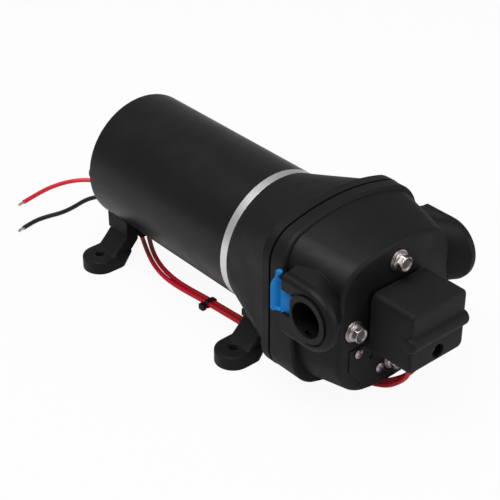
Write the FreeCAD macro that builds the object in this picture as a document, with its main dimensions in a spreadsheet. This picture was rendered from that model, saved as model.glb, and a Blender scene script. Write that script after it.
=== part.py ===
"""A 12 volt diaphragm pump for the water system of a caravan: motor, wobble drive, pump head, pressure
switch, feet and leads.

The origin is on the floor, in the middle of the four foot holes. +X points to the pump head, +Y to the pump's
right hand port, +Z up. Millimetres.
"""
import FreeCAD, Part
import math
import os
import re
import Sketcher

os.makedirs("parts", exist_ok=True)
doc = FreeCAD.newDocument("water_pump")

# Driving sizes. Each row is a name, a value in millimetres (degrees where the name says so) and what it is.
# The last rows follow from the others by a formula.
SIZES = [
    ("foot_spacing_y", 81, "foot holes, across the pump"),
    ("foot_hole_radius", 2.6, "screw hole in a foot"),
    ("foot_radius", 10.3, "round end of a foot's pad"),
    ("foot_thickness", 8.2, "height of a foot's pad"),
    ("leg_thickness", 6.5, "thickness of a foot's sloping leg"),
    ("seat_height", 18, "underside of the blocks that the feet hang on"),
    ("seat_half_width", 27, "half the width of those blocks"),
    ("seat_half_length", 9, "half the length of those blocks"),
    ("saddle_depth", 4.5, "middle of the rear saddle under its sides"),
    ("saddle_screw_radius", 2, "screws through the rear saddle"),
    ("small_screw_radius", 1.6, "bell screws and piston screws"),
    ("lug_height", 4, "dovetail lug on top of a leg"),
    ("lug_width", 4.5, "width of that lug"),
    ("axis_height", 55, "motor axis over the floor"),
    ("can_overhang", 9, "motor can behind the rear foot holes"),
    ("foot_ahead", 8, "front foot holes in front of the end bell"),
    ("can_radius", 38, "outside of the motor can"),
    ("can_wall", 2, "wall of the motor can"),
    ("can_length", 116, "length of the motor can"),
    ("cap_lip", 2.2, "rear end cap behind the can's rim"),
    ("cap_spigot", 8, "rear end cap inside the can"),
    ("cap_wall", 3, "end wall of the rear cap"),
    ("bell_ring", 5, "front end bell in front of the can"),
    ("bell_spigot", 4, "front end bell inside the can"),
    ("fit_gap", 0.1, "clearance of parts that slip together"),
    ("running_gap", 0.3, "clearance of parts that turn or slide past each other"),
    ("shaft_radius", 4, "motor shaft"),
    ("bearing_radius", 11, "outside of the shaft bearings"),
    ("bearing_width", 7, "width of the shaft bearings"),
    ("race_wall", 2.1, "wall of a bearing ring"),
    ("magnet_thickness", 6, "field magnets, wall"),
    ("magnet_angle_degrees", 130, "field magnets, arc"),
    ("magnet_overlap", 6, "field magnets beyond the core, at each end"),
    ("air_gap", 1, "between armature and magnets"),
    ("slot_width", 2.4, "mouth of an armature slot"),
    ("slot_depth", 9, "depth of an armature slot"),
    ("winding_length", 10, "armature winding beyond the core, at each end"),
    ("winding_radius", 23, "outside of the winding"),
    ("winding_gap", 4, "winding in front of the commutator"),
    ("bearing_clearance", 6, "winding behind the front bearing"),
    ("bearing_set_back", 3, "front bearing behind the bell's spigot"),
    ("commutator_start", 19, "rear of the commutator from the can's rear rim"),
    ("commutator_length", 14, "commutator"),
    ("commutator_radius", 11, "commutator"),
    ("brush_width", 8, "brush, along the motor"),
    ("brush_breadth", 6, "brush, across the motor"),
    ("brush_height", 10, "brush, along its travel"),
    ("holder_wall", 1, "brush holder sheet"),
    ("spring_wire", 0.5, "wire of a brush spring"),
    ("spring_radius", 2.1, "mean radius of a brush spring"),
    ("card_thickness", 3, "insulating plate that carries the brush holders"),
    ("through_bolt_radius", 2, "long motor bolts"),
    ("through_bolt_circle", 33, "radius on which the long motor bolts lie"),
    ("housing_length", 42, "drive housing, from the end bell to the diaphragm"),
    ("housing_bore", 34, "inside of the drive housing"),
    ("housing_end_wall", 3.5, "end wall of the drive housing at the bell"),
    ("flange_length", 6, "flange of the drive housing"),
    ("flange_lip", 3, "flange beyond the housing's side"),
    ("flange_half_width", 46.2, "half the width of the flange"),
    ("flange_top", 47.6, "flange above the axis"),
    ("flange_bottom", 46.8, "flange below the axis"),
    ("flange_corner", 18, "corner radius of the flange"),
    ("flange_dome", 118, "radius of the flange's domed top and belly"),
    ("seam", 1, "diaphragm between housing and head"),
    ("seam_inset", 1.6, "how far the diaphragm's edge lies inside the seam"),
    ("tilt_degrees", 3.5, "tilt of the wobble drive"),
    ("hub_radius", 13, "counterweight end of the eccentric hub"),
    ("hub_length", 9, "counterweight end of the eccentric hub"),
    ("journal_radius", 8.5, "tilted journal of the hub"),
    ("cam_bearing_radius", 17.5, "outside of the cam bearing"),
    ("cam_bearing_width", 10, "cam bearing"),
    ("cam_bearing_back", 18, "front of the cam bearing behind the diaphragm"),
    ("socket_wall", 3.5, "wobble plate round the cam bearing"),
    ("plate_thickness", 3, "front wall of the wobble plate"),
    ("piston_circle", 22, "radius on which the pistons lie"),
    ("pad_radius", 7.5, "piston pad of the wobble plate"),
    ("piston_gap", 2.7, "from the diaphragm's middle to pad or piston disc"),
    ("neck_radius", 4.2, "piston neck through the diaphragm"),
    ("disc_radius", 9, "piston disc"),
    ("disc_thickness", 3, "piston disc"),
    ("chamber_clearance", 1, "pump chamber round a piston disc"),
    ("chamber_depth", 11.5, "pump chamber"),
    ("valve_web", 3, "valve plate in front of the chambers"),
    ("valve_radius", 4.5, "inlet valve flap"),
    ("valve_circle", 25.5, "radius on which the inlet valves lie"),
    ("outlet_valve_radius", 15.5, "outlet valve flap"),
    ("head_bore", 33.6, "inside of the pump head round the valve plate"),
    ("head_length", 41, "pump head"),
    ("tier_length", 13.9, "first step of the pump head, at the motor axis"),
    ("tier_tilt_degrees", 8.4, "lean of the first step's front face"),
    ("tier_fillet", 1.5, "rounded edge of the first step"),
    ("second_start", 5, "rear of the second step in front of the head's rear"),
    ("tier_inset", 1.9, "second step inside the first at its rear"),
    ("head_taper", 6.5, "how far the head's sides lean in to its front"),
    ("head_belly", 3, "underside of the second step above the flange's"),
    ("head_corner", 18, "upper corner radius at the head's front"),
    ("head_low_corner", 26, "lower corner radius at the head's front"),
    ("head_front_dome", 90, "radius of the domed edges at the head's front"),
    ("head_fillet", 3, "rounded front edge of the head"),
    ("gallery_depth", 7, "inlet gallery in front of the valve plate"),
    ("outlet_radius", 17, "outlet chamber in front of the valve plate"),
    ("gallery_wall", 3.2, "wall between outlet chamber and inlet gallery"),
    ("port_height", 11.4, "ports over the motor axis"),
    ("port_back", 10, "port axis behind the head's front face"),
    ("port_radius", 9.5, "port socket"),
    ("port_depth", 17, "port socket"),
    ("port_reach", 5.1, "outer face of a port beyond the flange's side"),
    ("port_channel", 6, "radius of the channel behind a port"),
    ("boss_radius", 17.3, "round front of a port boss"),
    ("boss_shoulder", 2.4, "how far a boss widens towards the head"),
    ("boss_straight", 5, "outer part of a boss that keeps its width"),
    ("boss_rim", 3.2, "rounded outer rim of a boss"),
    ("boss_rear", 17.3, "length of a boss behind the port axis"),
    ("ring_radius", 12.6, "raised ring round a port"),
    ("groove_width", 2.6, "widest part of the crescent groove beside that ring"),
    ("groove_depth", 1.2, "groove round that ring"),
    ("clip_thickness", 1.8, "slide clip"),
    ("clip_depth", 4.2, "outer side of a clip's fork from the boss face"),
    ("clip_rear", 27.4, "rear of a clip behind the port axis"),
    ("clip_outer_drop", 1.3, "outer side of a clip's grip from the boss face"),
    ("clip_grip_low", 8.3, "lower end of a clip's grip under the port axis"),
    ("clip_grip_high", 7.2, "upper end of a clip's grip over the port axis"),
    ("clip_waist", 12.9, "waist between grip and knob over the port axis"),
    ("clip_knob", 6, "knob of a clip, height over its waist"),
    ("clip_grip_length", 5.9, "grip of a slide clip"),
    ("clip_web_low", 4.5, "lower edge of a clip's web under the port axis"),
    ("clip_web_high", 8.6, "upper edge of a clip's web over the port axis"),
    ("fork_gap", 9.9, "inner side of a clip's prong from the port axis"),
    ("fork_width", 2.6, "prong of a slide clip"),
    ("fork_tip", 6, "tip of a prong in front of the port axis"),
    ("screw_circle", 30, "radius on which the four head screws lie"),
    ("screw_radius", 2.5, "head screw"),
    ("screw_length", 54, "head screw"),
    ("screw_boss", 5.2, "boss for a head screw in the housing"),
    ("screw_boss_length", 14, "boss for a head screw in the housing"),
    ("hex_radius", 4.4, "hexagon of a head screw, to its corners"),
    ("hex_height", 4.4, "hexagon of a head screw"),
    ("flange_head_radius", 5, "flange under that hexagon"),
    ("flange_head_height", 1.2, "flange under that hexagon"),
    ("washer_radius", 5.8, "washer of a head screw"),
    ("washer_thickness", 1.2, "washer of a head screw"),
    ("switch_half_width", 19.2, "pressure switch boot, half its width"),
    ("switch_top", 18.5, "pressure switch boot over the axis"),
    ("switch_bottom", 15.9, "pressure switch boot under the axis"),
    ("switch_back", 2, "rear edge of the boot from the head"),
    ("switch_length", 28.5, "front of the boot from the head"),
    ("boot_wall", 2, "wall of the boot"),
    ("boot_corner", 3.6, "rounded corners of the boot, seen from the front"),
    ("boot_fillet", 1.8, "rounded front edges of the boot"),
    ("band_radius", 4.3, "half round band on the boot"),
    ("band_inset", 1.5, "middle of that band behind the boot's front"),
    ("band_height", 1.5, "middle of that band over the axis"),
    ("band_overhang", 1.2, "ends of that band beyond the boot's sides"),
    ("access_radius", 3.9, "access hole in the boot"),
    ("access_side", 0.8, "access hole to the right of the adjusting screw"),
    ("screw_drop", 10, "adjusting screw under the axis"),
    ("screw_stand_out", 2.1, "adjusting screw in front of the cross wall"),
    ("plunger_height", 5, "switch plunger over the axis"),
    ("plunger_radius", 6, "plate of the switch plunger"),
    ("stem_radius", 2.5, "stem of the switch plunger"),
    ("plunger_travel", 0.8, "travel of the switch plunger"),
    ("pivot_height", 13, "pivot of the rocker over the axis"),
    ("pivot_radius", 1, "pivot pin of the rocker"),
    ("base_thickness", 7, "switch base"),
    ("rocker_thickness", 1.6, "rocker of the switch"),
    ("rocker_half_width", 5, "rocker of the switch, half its width"),
    ("switch_spring_radius", 2.3, "mean radius of the switch spring"),
    ("switch_spring_wire", 0.7, "wire of the switch spring"),
    ("switch_spring_length", 4, "switch spring"),
    ("switch_diaphragm_radius", 9, "rubber disc of the switch"),
    ("switch_diaphragm_thickness", 1, "rubber disc of the switch"),
    ("frame_half_width", 12, "plastic frame of the switch, half its width"),
    ("frame_wall", 2.2, "side walls and cross wall of the switch frame"),
    ("frame_set_back", 2.7, "cross wall behind the inside of the boot"),
    ("rocker_stand_off", 3.4, "rocker in front of the switch base"),
    ("terminal_reach", 7, "terminal blades from the middle"),
    ("terminal_half_width", 1.6, "terminal blade, half its width"),
    ("terminal_thickness", 0.8, "terminal blade"),
    ("terminal_drop", 12, "lower end of the terminal blades under the axis"),
    ("adjuster_radius", 1.5, "adjusting screw"),
    ("lead_radius", 1.35, "insulated lead"),
    ("strand_radius", 0.9, "tinned strands of a lead's end"),
    ("grommet_radius", 6.5, "lead grommet"),
    ("grommet_drop", 24, "lead grommet under the axis"),
    ("grommet_side", 6.5, "lead grommet to the right of the axis"),
    ("lead_pitch", 5, "distance between the two leads in the grommet"),
    ("tie_thickness", 1, "cable tie strap"),
    ("tie_width", 2.6, "cable tie strap"),
    ("foot_spacing_x", "=can_length + bell_ring + foot_ahead - can_overhang", "foot holes, along the pump"),
    ("core_rear", "=commutator_start + commutator_length + winding_gap + winding_length",
     "rear of the armature core from the can's rear rim"),
    ("core_length",
     "=can_length - core_rear - winding_length - bearing_clearance - bell_spigot - bearing_set_back",
     "armature core"),
    ("magnet_length", "=core_length + 2 * magnet_overlap", "field magnets, along the motor"),
    ("port_half_span", "=flange_half_width + port_reach", "outer face of a port from the middle"),
]

sheet = doc.addObject("Spreadsheet::Sheet", "Sizes")
for row, (alias, number, meaning) in enumerate(SIZES, 1):
    sheet.set(f"A{row}", alias)
    sheet.set(f"B{row}", str(number))
    sheet.set(f"C{row}", meaning)
    sheet.setAlias(f"B{row}", alias)
doc.recompute()

nodes = {}


def value(formula):
    """The number that a formula of sheet sizes gives."""
    return float(sheet.evalExpression(str(formula)))


def linked(formula):
    """The same formula as another object of the document reads it."""
    return re.sub(r"\b([a-z]\w*)\b(?!\()", r"Sizes.\1", str(formula))


def bind(thing, **formulas):
    """Ties properties of an object to formulas of sheet sizes."""
    for name, formula in formulas.items():
        setattr(thing, name, value(formula))
        thing.setExpression(name, linked(formula))


def put(thing, at, turn=None):
    """Places an object: at holds three formulas, turn an axis and an angle in degrees."""
    if turn:
        axis, angle = turn
        thing.Placement = FreeCAD.Placement(FreeCAD.Vector(), FreeCAD.Rotation(FreeCAD.Vector(*axis), angle))
    for letter, formula in zip("xyz", at):
        thing.setExpression(f"Placement.Base.{letter}", linked(formula))
    return thing


def node(name, thing):
    """Names an object as one sub-part of the pump."""
    thing.Label = name
    nodes[name] = thing
    return thing


# A cylinder, prism or spring runs along its own Z, which these turns lay along a direction of the pump.
ALONG = {
    "+X": ((0, 1, 0), 90),
    "-X": ((0, 1, 0), -90),
    "+Y": ((1, 0, 0), -90),
    "-Y": ((1, 0, 0), 90),
    "+Z": ((0, 0, 1), 0),
    "-Z": ((1, 0, 0), 180),
}


def rod(name, radius, length, at, along="+X"):
    """A cylinder from the point at."""
    thing = doc.addObject("Part::Cylinder", name)
    bind(thing, Radius=radius, Height=length)
    return put(thing, at, ALONG[along])


def taper(name, radius, end_radius, length, at, along="+X"):
    """A cone frustum from the point at."""
    thing = doc.addObject("Part::Cone", name)
    bind(thing, Radius1=radius, Radius2=end_radius, Height=length)
    return put(thing, at, ALONG[along])


def hexagon(name, radius, length, at, along="+X"):
    """A six sided prism from the point at."""
    thing = doc.addObject("Part::Prism", name)
    thing.Polygon = 6
    bind(thing, Circumradius=radius, Height=length)
    return put(thing, at, ALONG[along])


def block(name, low, size):
    """A box from its low corner."""
    thing = doc.addObject("Part::Box", name)
    bind(thing, Length=size[0], Width=size[1], Height=size[2])
    return put(thing, low)


def joined(name, *things):
    """One solid of several."""
    thing = doc.addObject("Part::MultiFuse", name)
    thing.Shapes = list(things)
    thing.Refine = True
    return thing


def less(name, base, *tools):
    """The base with the tools cut away."""
    thing = doc.addObject("Part::Cut", name)
    thing.Base = base
    thing.Tool = tools[0] if len(tools) == 1 else joined(name + "_tools", *tools)
    thing.Refine = True
    return thing


def group(name, things):
    """Several like solids as one sub-part."""
    thing = doc.addObject("Part::Compound", name)
    thing.Links = list(things)
    return thing


def frozen(name, shape):
    """A sub-part whose shape is worked out by the functions below from the sheet's sizes."""
    thing = doc.addObject("Part::Feature", name)
    thing.Shape = shape
    thing.Placement = FreeCAD.Placement()
    return thing


def origin_plane(body, role):
    return next(plane for plane in body.Origin.OriginFeatures if plane.Role == role)


def sketch_on(body, role, name):
    sketch = body.newObject("Sketcher::SketchObject", name)
    sketch.AttachmentSupport = [(origin_plane(body, role), "")]
    sketch.MapMode = "FlatFace"
    return sketch


def fix(sketch, kind, index, end, formula, label):
    """Holds one end of an edge at a distance from the sketch's origin."""
    number = value(formula)
    if abs(number) < 1e-9:
        sketch.addConstraint(Sketcher.Constraint("PointOnObject", index, end,
                                                 -2 if kind == "DistanceX" else -1))
        return
    place = sketch.addConstraint(Sketcher.Constraint(kind, -1, 1, index, end, number))
    sketch.renameConstraint(place, label)
    sketch.setExpression("Constraints." + label, linked(formula))


def outlined(sketch, corners):
    """Draws a closed outline through corners, each a pair of formulas."""
    points = [FreeCAD.Vector(value(first), value(second), 0) for first, second in corners]
    count = len(points)
    for index in range(count):
        sketch.addGeometry(Part.LineSegment(points[index], points[(index + 1) % count]), False)
    for index in range(count):
        sketch.addConstraint(Sketcher.Constraint("Coincident", index, 2, (index + 1) % count, 1))
    for index, (first, second) in enumerate(corners):
        fix(sketch, "DistanceX", index, 1, first, f"x{index}")
        fix(sketch, "DistanceY", index, 1, second, f"y{index}")


def turned(name, corners, at=("0", "0", "axis_height"), along="+X"):
    """A turned piece: corners are pairs of formulas, along its axis and out from it."""
    body = doc.addObject("PartDesign::Body", name)
    sketch = sketch_on(body, "XZ_Plane", name + "_profile")
    outlined(sketch, corners)
    revolution = body.newObject("PartDesign::Revolution", name + "_turned")
    revolution.Profile = sketch
    revolution.ReferenceAxis = (sketch, ["H_Axis"])
    revolution.Angle = 360
    turns = {"+X": None, "-X": ((0, 0, 1), 180), "+Y": ((0, 0, 1), 90), "-Y": ((0, 0, 1), -90),
             "+Z": ((0, 1, 0), -90)}
    return put(body, at, turns[along])


def ring(name, start, end, inner, outer, at=("0", "0", "axis_height"), along="+X"):
    """A turned ring between two stations of its axis."""
    return turned(name, [(start, inner), (end, inner), (end, outer), (start, outer)], at, along)


def coil(name, radius, wire, length, turns, at, along):
    """A wound spring whose wire starts at the point at."""
    body = doc.addObject("PartDesign::Body", name)
    sketch = sketch_on(body, "XZ_Plane", name + "_wire")
    sketch.addGeometry(Part.Circle(FreeCAD.Vector(value(radius), 0, 0), FreeCAD.Vector(0, 0, 1),
                                   value(wire) / 2), False)
    fix(sketch, "DistanceX", 0, 3, radius, "mean_radius")
    sketch.addConstraint(Sketcher.Constraint("PointOnObject", 0, 3, -1))
    size = sketch.addConstraint(Sketcher.Constraint("Diameter", 0, value(wire)))
    sketch.renameConstraint(size, "wire")
    sketch.setExpression("Constraints.wire", linked(wire))
    doc.recompute()
    helix = body.newObject("PartDesign::AdditiveHelix", name + "_coils")
    helix.Profile = sketch
    helix.ReferenceAxis = (sketch, ["V_Axis"])
    helix.Mode = 2
    helix.Turns = turns
    bind(helix, Height=f"{length} - {wire}")
    return put(body, at, ALONG[along])


# Stations along the pump, as formulas
can_rear = "(-foot_spacing_x / 2 - can_overhang)"
can_front = f"({can_rear} + can_length)"
bell_front = f"({can_front} + bell_ring)"
housing_front = f"({bell_front} + housing_length)"
head_rear = f"({housing_front} + seam)"
head_front = f"({head_rear} + head_length)"
port_x = f"({head_front} - port_back)"
plate_front = f"({head_rear} + chamber_depth + valve_web)"
diaphragm_middle = f"({housing_front} + seam / 2)"
can_bore = "(can_radius - can_wall)"


def over_axis(height):
    return f"(axis_height + {height})"


# Motor: can, end cap, end bell and the two long bolts that hold them together
bolt_start = f"({can_rear} - cap_lip)"
saddle_screw_x = f"({can_rear} + cap_spigot + saddle_screw_radius + 1)"
saddle_screw_y = "(seat_half_width * 0.45)"
can_tube = ring("can_tube", can_rear, can_front, can_bore, "can_radius")
can_holes = [
    rod(f"can_hole_{side}", "saddle_screw_radius + fit_gap", "can_radius",
        (saddle_screw_x, f"{sign}{saddle_screw_y}", "axis_height"), "-Z")
    for side, sign in (("left", "-"), ("right", ""))
]
node("motor_can", less("motor_can_drilled", can_tube, *can_holes))

cap_profile = [
    (f"{can_rear} - cap_lip", 0),
    (f"{can_rear} - cap_lip", "can_radius - 2.4"),
    (f"{can_rear} - cap_lip + 1", "can_radius - 1.2"),
    (can_rear, "can_radius - 1.2"),
    (can_rear, f"{can_bore} - fit_gap"),
    (f"{can_rear} + cap_spigot", f"{can_bore} - fit_gap"),
    (f"{can_rear} + cap_spigot", f"{can_bore} - fit_gap - 1.4"),
    (f"{can_rear} - cap_lip + cap_wall", f"{can_bore} - fit_gap - 1.4"),
    (f"{can_rear} - cap_lip + cap_wall", "bearing_radius + fit_gap + 3"),
    (f"{can_rear} - cap_lip + cap_wall + bearing_width + 1", "bearing_radius + fit_gap + 3"),
    (f"{can_rear} - cap_lip + cap_wall + bearing_width + 1", "bearing_radius + fit_gap"),
    (f"{can_rear} - cap_lip + cap_wall + 1", "bearing_radius + fit_gap"),
    (f"{can_rear} - cap_lip + cap_wall + 1", "shaft_radius + 2"),
    (f"{can_rear} - cap_lip + cap_wall - 0.6", "shaft_radius + 2"),
    (f"{can_rear} - cap_lip + cap_wall - 0.6", 0),
]
cap_solid = turned("cap_solid", cap_profile)
grommet_hole = rod("grommet_hole", "grommet_radius - 1.5", "cap_wall + 2",
                   (f"{can_rear} - cap_lip - 1", "grommet_side", over_axis("-grommet_drop")))
cap_bolt_holes = [
    rod(f"cap_bolt_hole_{side}", "through_bolt_radius + fit_gap", "cap_wall + cap_spigot + 2",
        (f"{bolt_start} - 1", f"{sign}through_bolt_circle", "axis_height"))
    for side, sign in (("left", "-"), ("right", ""))
]
node("rear_end_cap", less("rear_cap_drilled", cap_solid, grommet_hole, *cap_bolt_holes))

bell_profile = [
    (f"{can_front} - bell_spigot", "bearing_radius + fit_gap + 3"),
    (f"{can_front} - bell_spigot - bearing_set_back", "bearing_radius + fit_gap + 3"),
    (f"{can_front} - bell_spigot - bearing_set_back", "bearing_radius + fit_gap"),
    (f"{can_front} - bell_spigot - bearing_set_back + bearing_width", "bearing_radius + fit_gap"),
    (f"{can_front} - bell_spigot - bearing_set_back + bearing_width", "shaft_radius + 2.5"),
    (bell_front, "shaft_radius + 2.5"),
    (bell_front, "can_radius"),
    (can_front, "can_radius"),
    (can_front, f"{can_bore} - fit_gap"),
    (f"{can_front} - bell_spigot", f"{can_bore} - fit_gap"),
]
bell_solid = turned("bell_solid", bell_profile)
bell_bolt_holes = [
    rod(f"bell_bolt_hole_{side}", "through_bolt_radius + fit_gap", "bell_spigot + 3",
        (f"{can_front} - bell_spigot - 1", f"{sign}through_bolt_circle", "axis_height"))
    for side, sign in (("left", "-"), ("right", ""))
]
bell_screw_places = [("left", "-", "-"), ("right", "", "-"), ("upper_left", "-", ""), ("upper_right", "", "")]
bell_screw_circle = "(housing_bore - 6.5)"
bell_screw_holes = [
    rod(f"bell_screw_hole_{side}", "small_screw_radius + fit_gap", "bell_ring + bell_spigot + 2",
        (f"{can_front} - bell_spigot - 1", f"{across}{bell_screw_circle} * sqrt(0.5)",
         over_axis(f"{up}{bell_screw_circle} * sqrt(0.5)")))
    for side, across, up in bell_screw_places
]
node("front_end_bell", less("bell_drilled", bell_solid, *bell_bolt_holes, *bell_screw_holes))

bolt_length = f"({can_front} + 1.5 - {bolt_start})"
through_bolts = []
for side, sign in (("left", "-"), ("right", "")):
    place = f"{sign}through_bolt_circle"
    shank = rod(f"bolt_shank_{side}", "through_bolt_radius", bolt_length, (bolt_start, place, "axis_height"))
    pan = taper(f"bolt_pan_{side}", "through_bolt_radius * 2 - 0.8", "through_bolt_radius * 2", 1.6,
                (f"{bolt_start} - 1.6", place, "axis_height"))
    slot = block(f"bolt_slot_{side}", (f"{bolt_start} - 2", f"{place} - 4", over_axis("-0.4")), (1.2, 8, 0.8))
    through_bolts.append(less(f"bolt_{side}", joined(f"bolt_body_{side}", shank, pan), slot))
node("motor_through_bolts", group("through_bolt_pair", through_bolts))

# Field magnets: two arcs glued in the can, above and below the armature
magnet_outer = f"({can_bore} - fit_gap)"
magnet_inner = "(can_radius - can_wall - magnet_thickness - fit_gap)"
magnet_x = f"({can_rear} + core_rear - magnet_overlap)"
magnets = []
for name, lift in (("magnet_upper", 90), ("magnet_lower", -90)):
    body = doc.addObject("PartDesign::Body", name)
    sketch = sketch_on(body, "XZ_Plane", name + "_profile")
    outlined(sketch, [("0", magnet_inner), ("magnet_length", magnet_inner),
                      ("magnet_length", magnet_outer), ("0", magnet_outer)])
    arc = body.newObject("PartDesign::Revolution", name + "_arc")
    arc.Profile = sketch
    arc.ReferenceAxis = (sketch, ["H_Axis"])
    arc.Type = "Angle"
    arc.Midplane = True
    bind(arc, Angle="magnet_angle_degrees")
    put(body, (magnet_x, "0", "axis_height"), ((1, 0, 0), lift - 90))
    magnets.append(body)
node("field_magnets", group("magnet_pair", magnets))

# Armature: shaft, slotted core, windings and commutator
shaft_rear = f"({can_rear} - cap_lip + cap_wall + 0.6)"
shaft_end = f"({diaphragm_middle} - cam_bearing_back - 1)"
node("motor_shaft", turned("shaft", [
    (shaft_rear, 0),
    (shaft_rear, "shaft_radius - 0.5"),
    (f"{shaft_rear} + 0.5", "shaft_radius"),
    (f"{shaft_end} - 0.5", "shaft_radius"),
    (shaft_end, "shaft_radius - 0.5"),
    (shaft_end, 0),
]))

core_x = f"({can_rear} + core_rear)"
core_radius = f"({magnet_inner} - air_gap)"
core_body = doc.addObject("PartDesign::Body", "core")
core_sketch = sketch_on(core_body, "YZ_Plane", "core_outline")
for radius in (core_radius, "shaft_radius"):
    index = core_sketch.addGeometry(Part.Circle(FreeCAD.Vector(), FreeCAD.Vector(0, 0, 1), value(radius)),
                                    False)
    core_sketch.addConstraint(Sketcher.Constraint("Coincident", index, 3, -1, 1))
    held = core_sketch.addConstraint(Sketcher.Constraint("Radius", index, value(radius)))
    core_sketch.renameConstraint(held, f"radius{index}")
    core_sketch.setExpression(f"Constraints.radius{index}", linked(radius))
core_pad = core_body.newObject("PartDesign::Pad", "core_length_pad")
core_pad.Profile = core_sketch
bind(core_pad, Length="core_length")
slot_sketch = sketch_on(core_body, "YZ_Plane", "core_slot")
outlined(slot_sketch, [("-slot_width / 2", f"{core_radius} - slot_depth"),
                       ("slot_width / 2", f"{core_radius} - slot_depth"),
                       ("slot_width / 2", f"{core_radius} + 1"), ("-slot_width / 2", f"{core_radius} + 1")])
doc.recompute()
whole_core = core_pad.Shape.Volume
core_slot = core_body.newObject("PartDesign::Pocket", "core_slot_cut")
core_slot.Profile = slot_sketch
core_slot.Type = "ThroughAll"
core_slot.Reversed = True
doc.recompute()
if core_slot.Shape.Volume > whole_core - 1:
    raise ValueError("the armature slot cuts nothing")
core_slots = core_body.newObject("PartDesign::PolarPattern", "core_slots")
core_slots.Originals = [core_slot]
core_slots.Axis = (core_sketch, ["N_Axis"])
core_slots.Angle = 360
core_slots.Occurrences = 12
core_body.Tip = core_slots
put(core_body, (core_x, "0", "axis_height"))
node("armature_core", core_body)

windings = []
for end, start, sign in (("rear", core_x, "-"), ("front", f"({core_x} + core_length)", "+")):
    windings.append(turned(f"winding_{end}", [
        (start, "shaft_radius + 3"),
        (start, "winding_radius"),
        (f"{start} {sign} winding_length * 0.6", "winding_radius"),
        (f"{start} {sign} winding_length", "winding_radius - 4"),
        (f"{start} {sign} winding_length", "shaft_radius + 5"),
        (f"{start} {sign} winding_length * 0.5", "shaft_radius + 3"),
    ]))
node("armature_windings", group("winding_pair", windings))

commutator_x = f"({can_rear} + commutator_start)"
commutator_solid = turned("commutator_solid", [
    (commutator_x, "shaft_radius"),
    (commutator_x, "commutator_radius"),
    (f"{commutator_x} + commutator_length - 2", "commutator_radius"),
    (f"{commutator_x} + commutator_length - 2", "commutator_radius + 1.6"),
    (f"{commutator_x} + commutator_length", "commutator_radius + 1.6"),
    (f"{commutator_x} + commutator_length", "shaft_radius"),
])
segment_gaps = []
for count in range(6):
    gap = block(f"segment_gap_{count}", ("0", "0", "0"),
                ("commutator_length - 3", "commutator_radius * 2 + 1", 0.5))
    angle = count * 30
    turn = FreeCAD.Rotation(FreeCAD.Vector(1, 0, 0), angle)
    corner = turn.multVec(FreeCAD.Vector(0, -value("commutator_radius * 2 + 1") / 2, -0.25))
    gap.Placement = FreeCAD.Placement(corner, turn)
    segment_gaps.append(gap)
gap_core = rod("segment_gap_core", "commutator_radius - 0.8", "commutator_length", ("-0.5", "0", "0"))
gap_star = less("segment_gap_star", joined("segment_gap_blades", *segment_gaps), gap_core)
put(gap_star, (commutator_x, "0", "axis_height"))
node("commutator", less("commutator_cut", commutator_solid, gap_star))

outer_races = []
inner_races = []
for end, start in (("rear", f"({can_rear} - cap_lip + cap_wall + 1)"),
                   ("front", f"({can_front} - bell_spigot - bearing_set_back)")):
    stop = f"({start} + bearing_width)"
    middle = "((bearing_radius + shaft_radius) / 2)"
    outer_races.append(turned(f"{end}_outer_race", [
        (start, "bearing_radius - race_wall"), (start, "bearing_radius"), (stop, "bearing_radius"),
        (stop, "bearing_radius - race_wall"),
        (f"{stop} - 0.8", "bearing_radius - race_wall"), (f"{stop} - 0.8", f"{middle} - 1"),
        (f"{stop} - 1.2", f"{middle} - 1"), (f"{stop} - 1.2", "bearing_radius - race_wall"),
        (f"{start} + 1.2", "bearing_radius - race_wall"), (f"{start} + 1.2", f"{middle} - 1"),
        (f"{start} + 0.8", f"{middle} - 1"), (f"{start} + 0.8", "bearing_radius - race_wall"),
    ]))
    inner_races.append(ring(f"{end}_inner_race", start, stop, "shaft_radius", "shaft_radius + race_wall"))
node("shaft_bearing_outer_rings", group("outer_race_pair", outer_races))
node("shaft_bearing_inner_rings", group("inner_race_pair", inner_races))

# Brush gear: an insulating plate with two holders, each with its carbon brush and spring
holder_x = f"({commutator_x} + commutator_length / 2 - 1)"
brush_foot = "(commutator_radius + running_gap)"
holder_top = f"({can_bore} - 1.2)"
card_x = f"({holder_x} - brush_width / 2 - fit_gap - holder_wall - card_thickness)"
card_ring = ring("card_ring", card_x, f"{card_x} + card_thickness", "commutator_radius + 3.5",
                 f"{can_bore} - fit_gap")
card_holes = [
    rod(f"card_bolt_hole_{side}", "through_bolt_radius + fit_gap", "card_thickness + 2",
        (f"{card_x} - 1", f"{sign}through_bolt_circle", "axis_height"))
    for side, sign in (("left", "-"), ("right", ""))
]
node("brush_card", less("card_drilled", card_ring, *card_holes))

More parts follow.
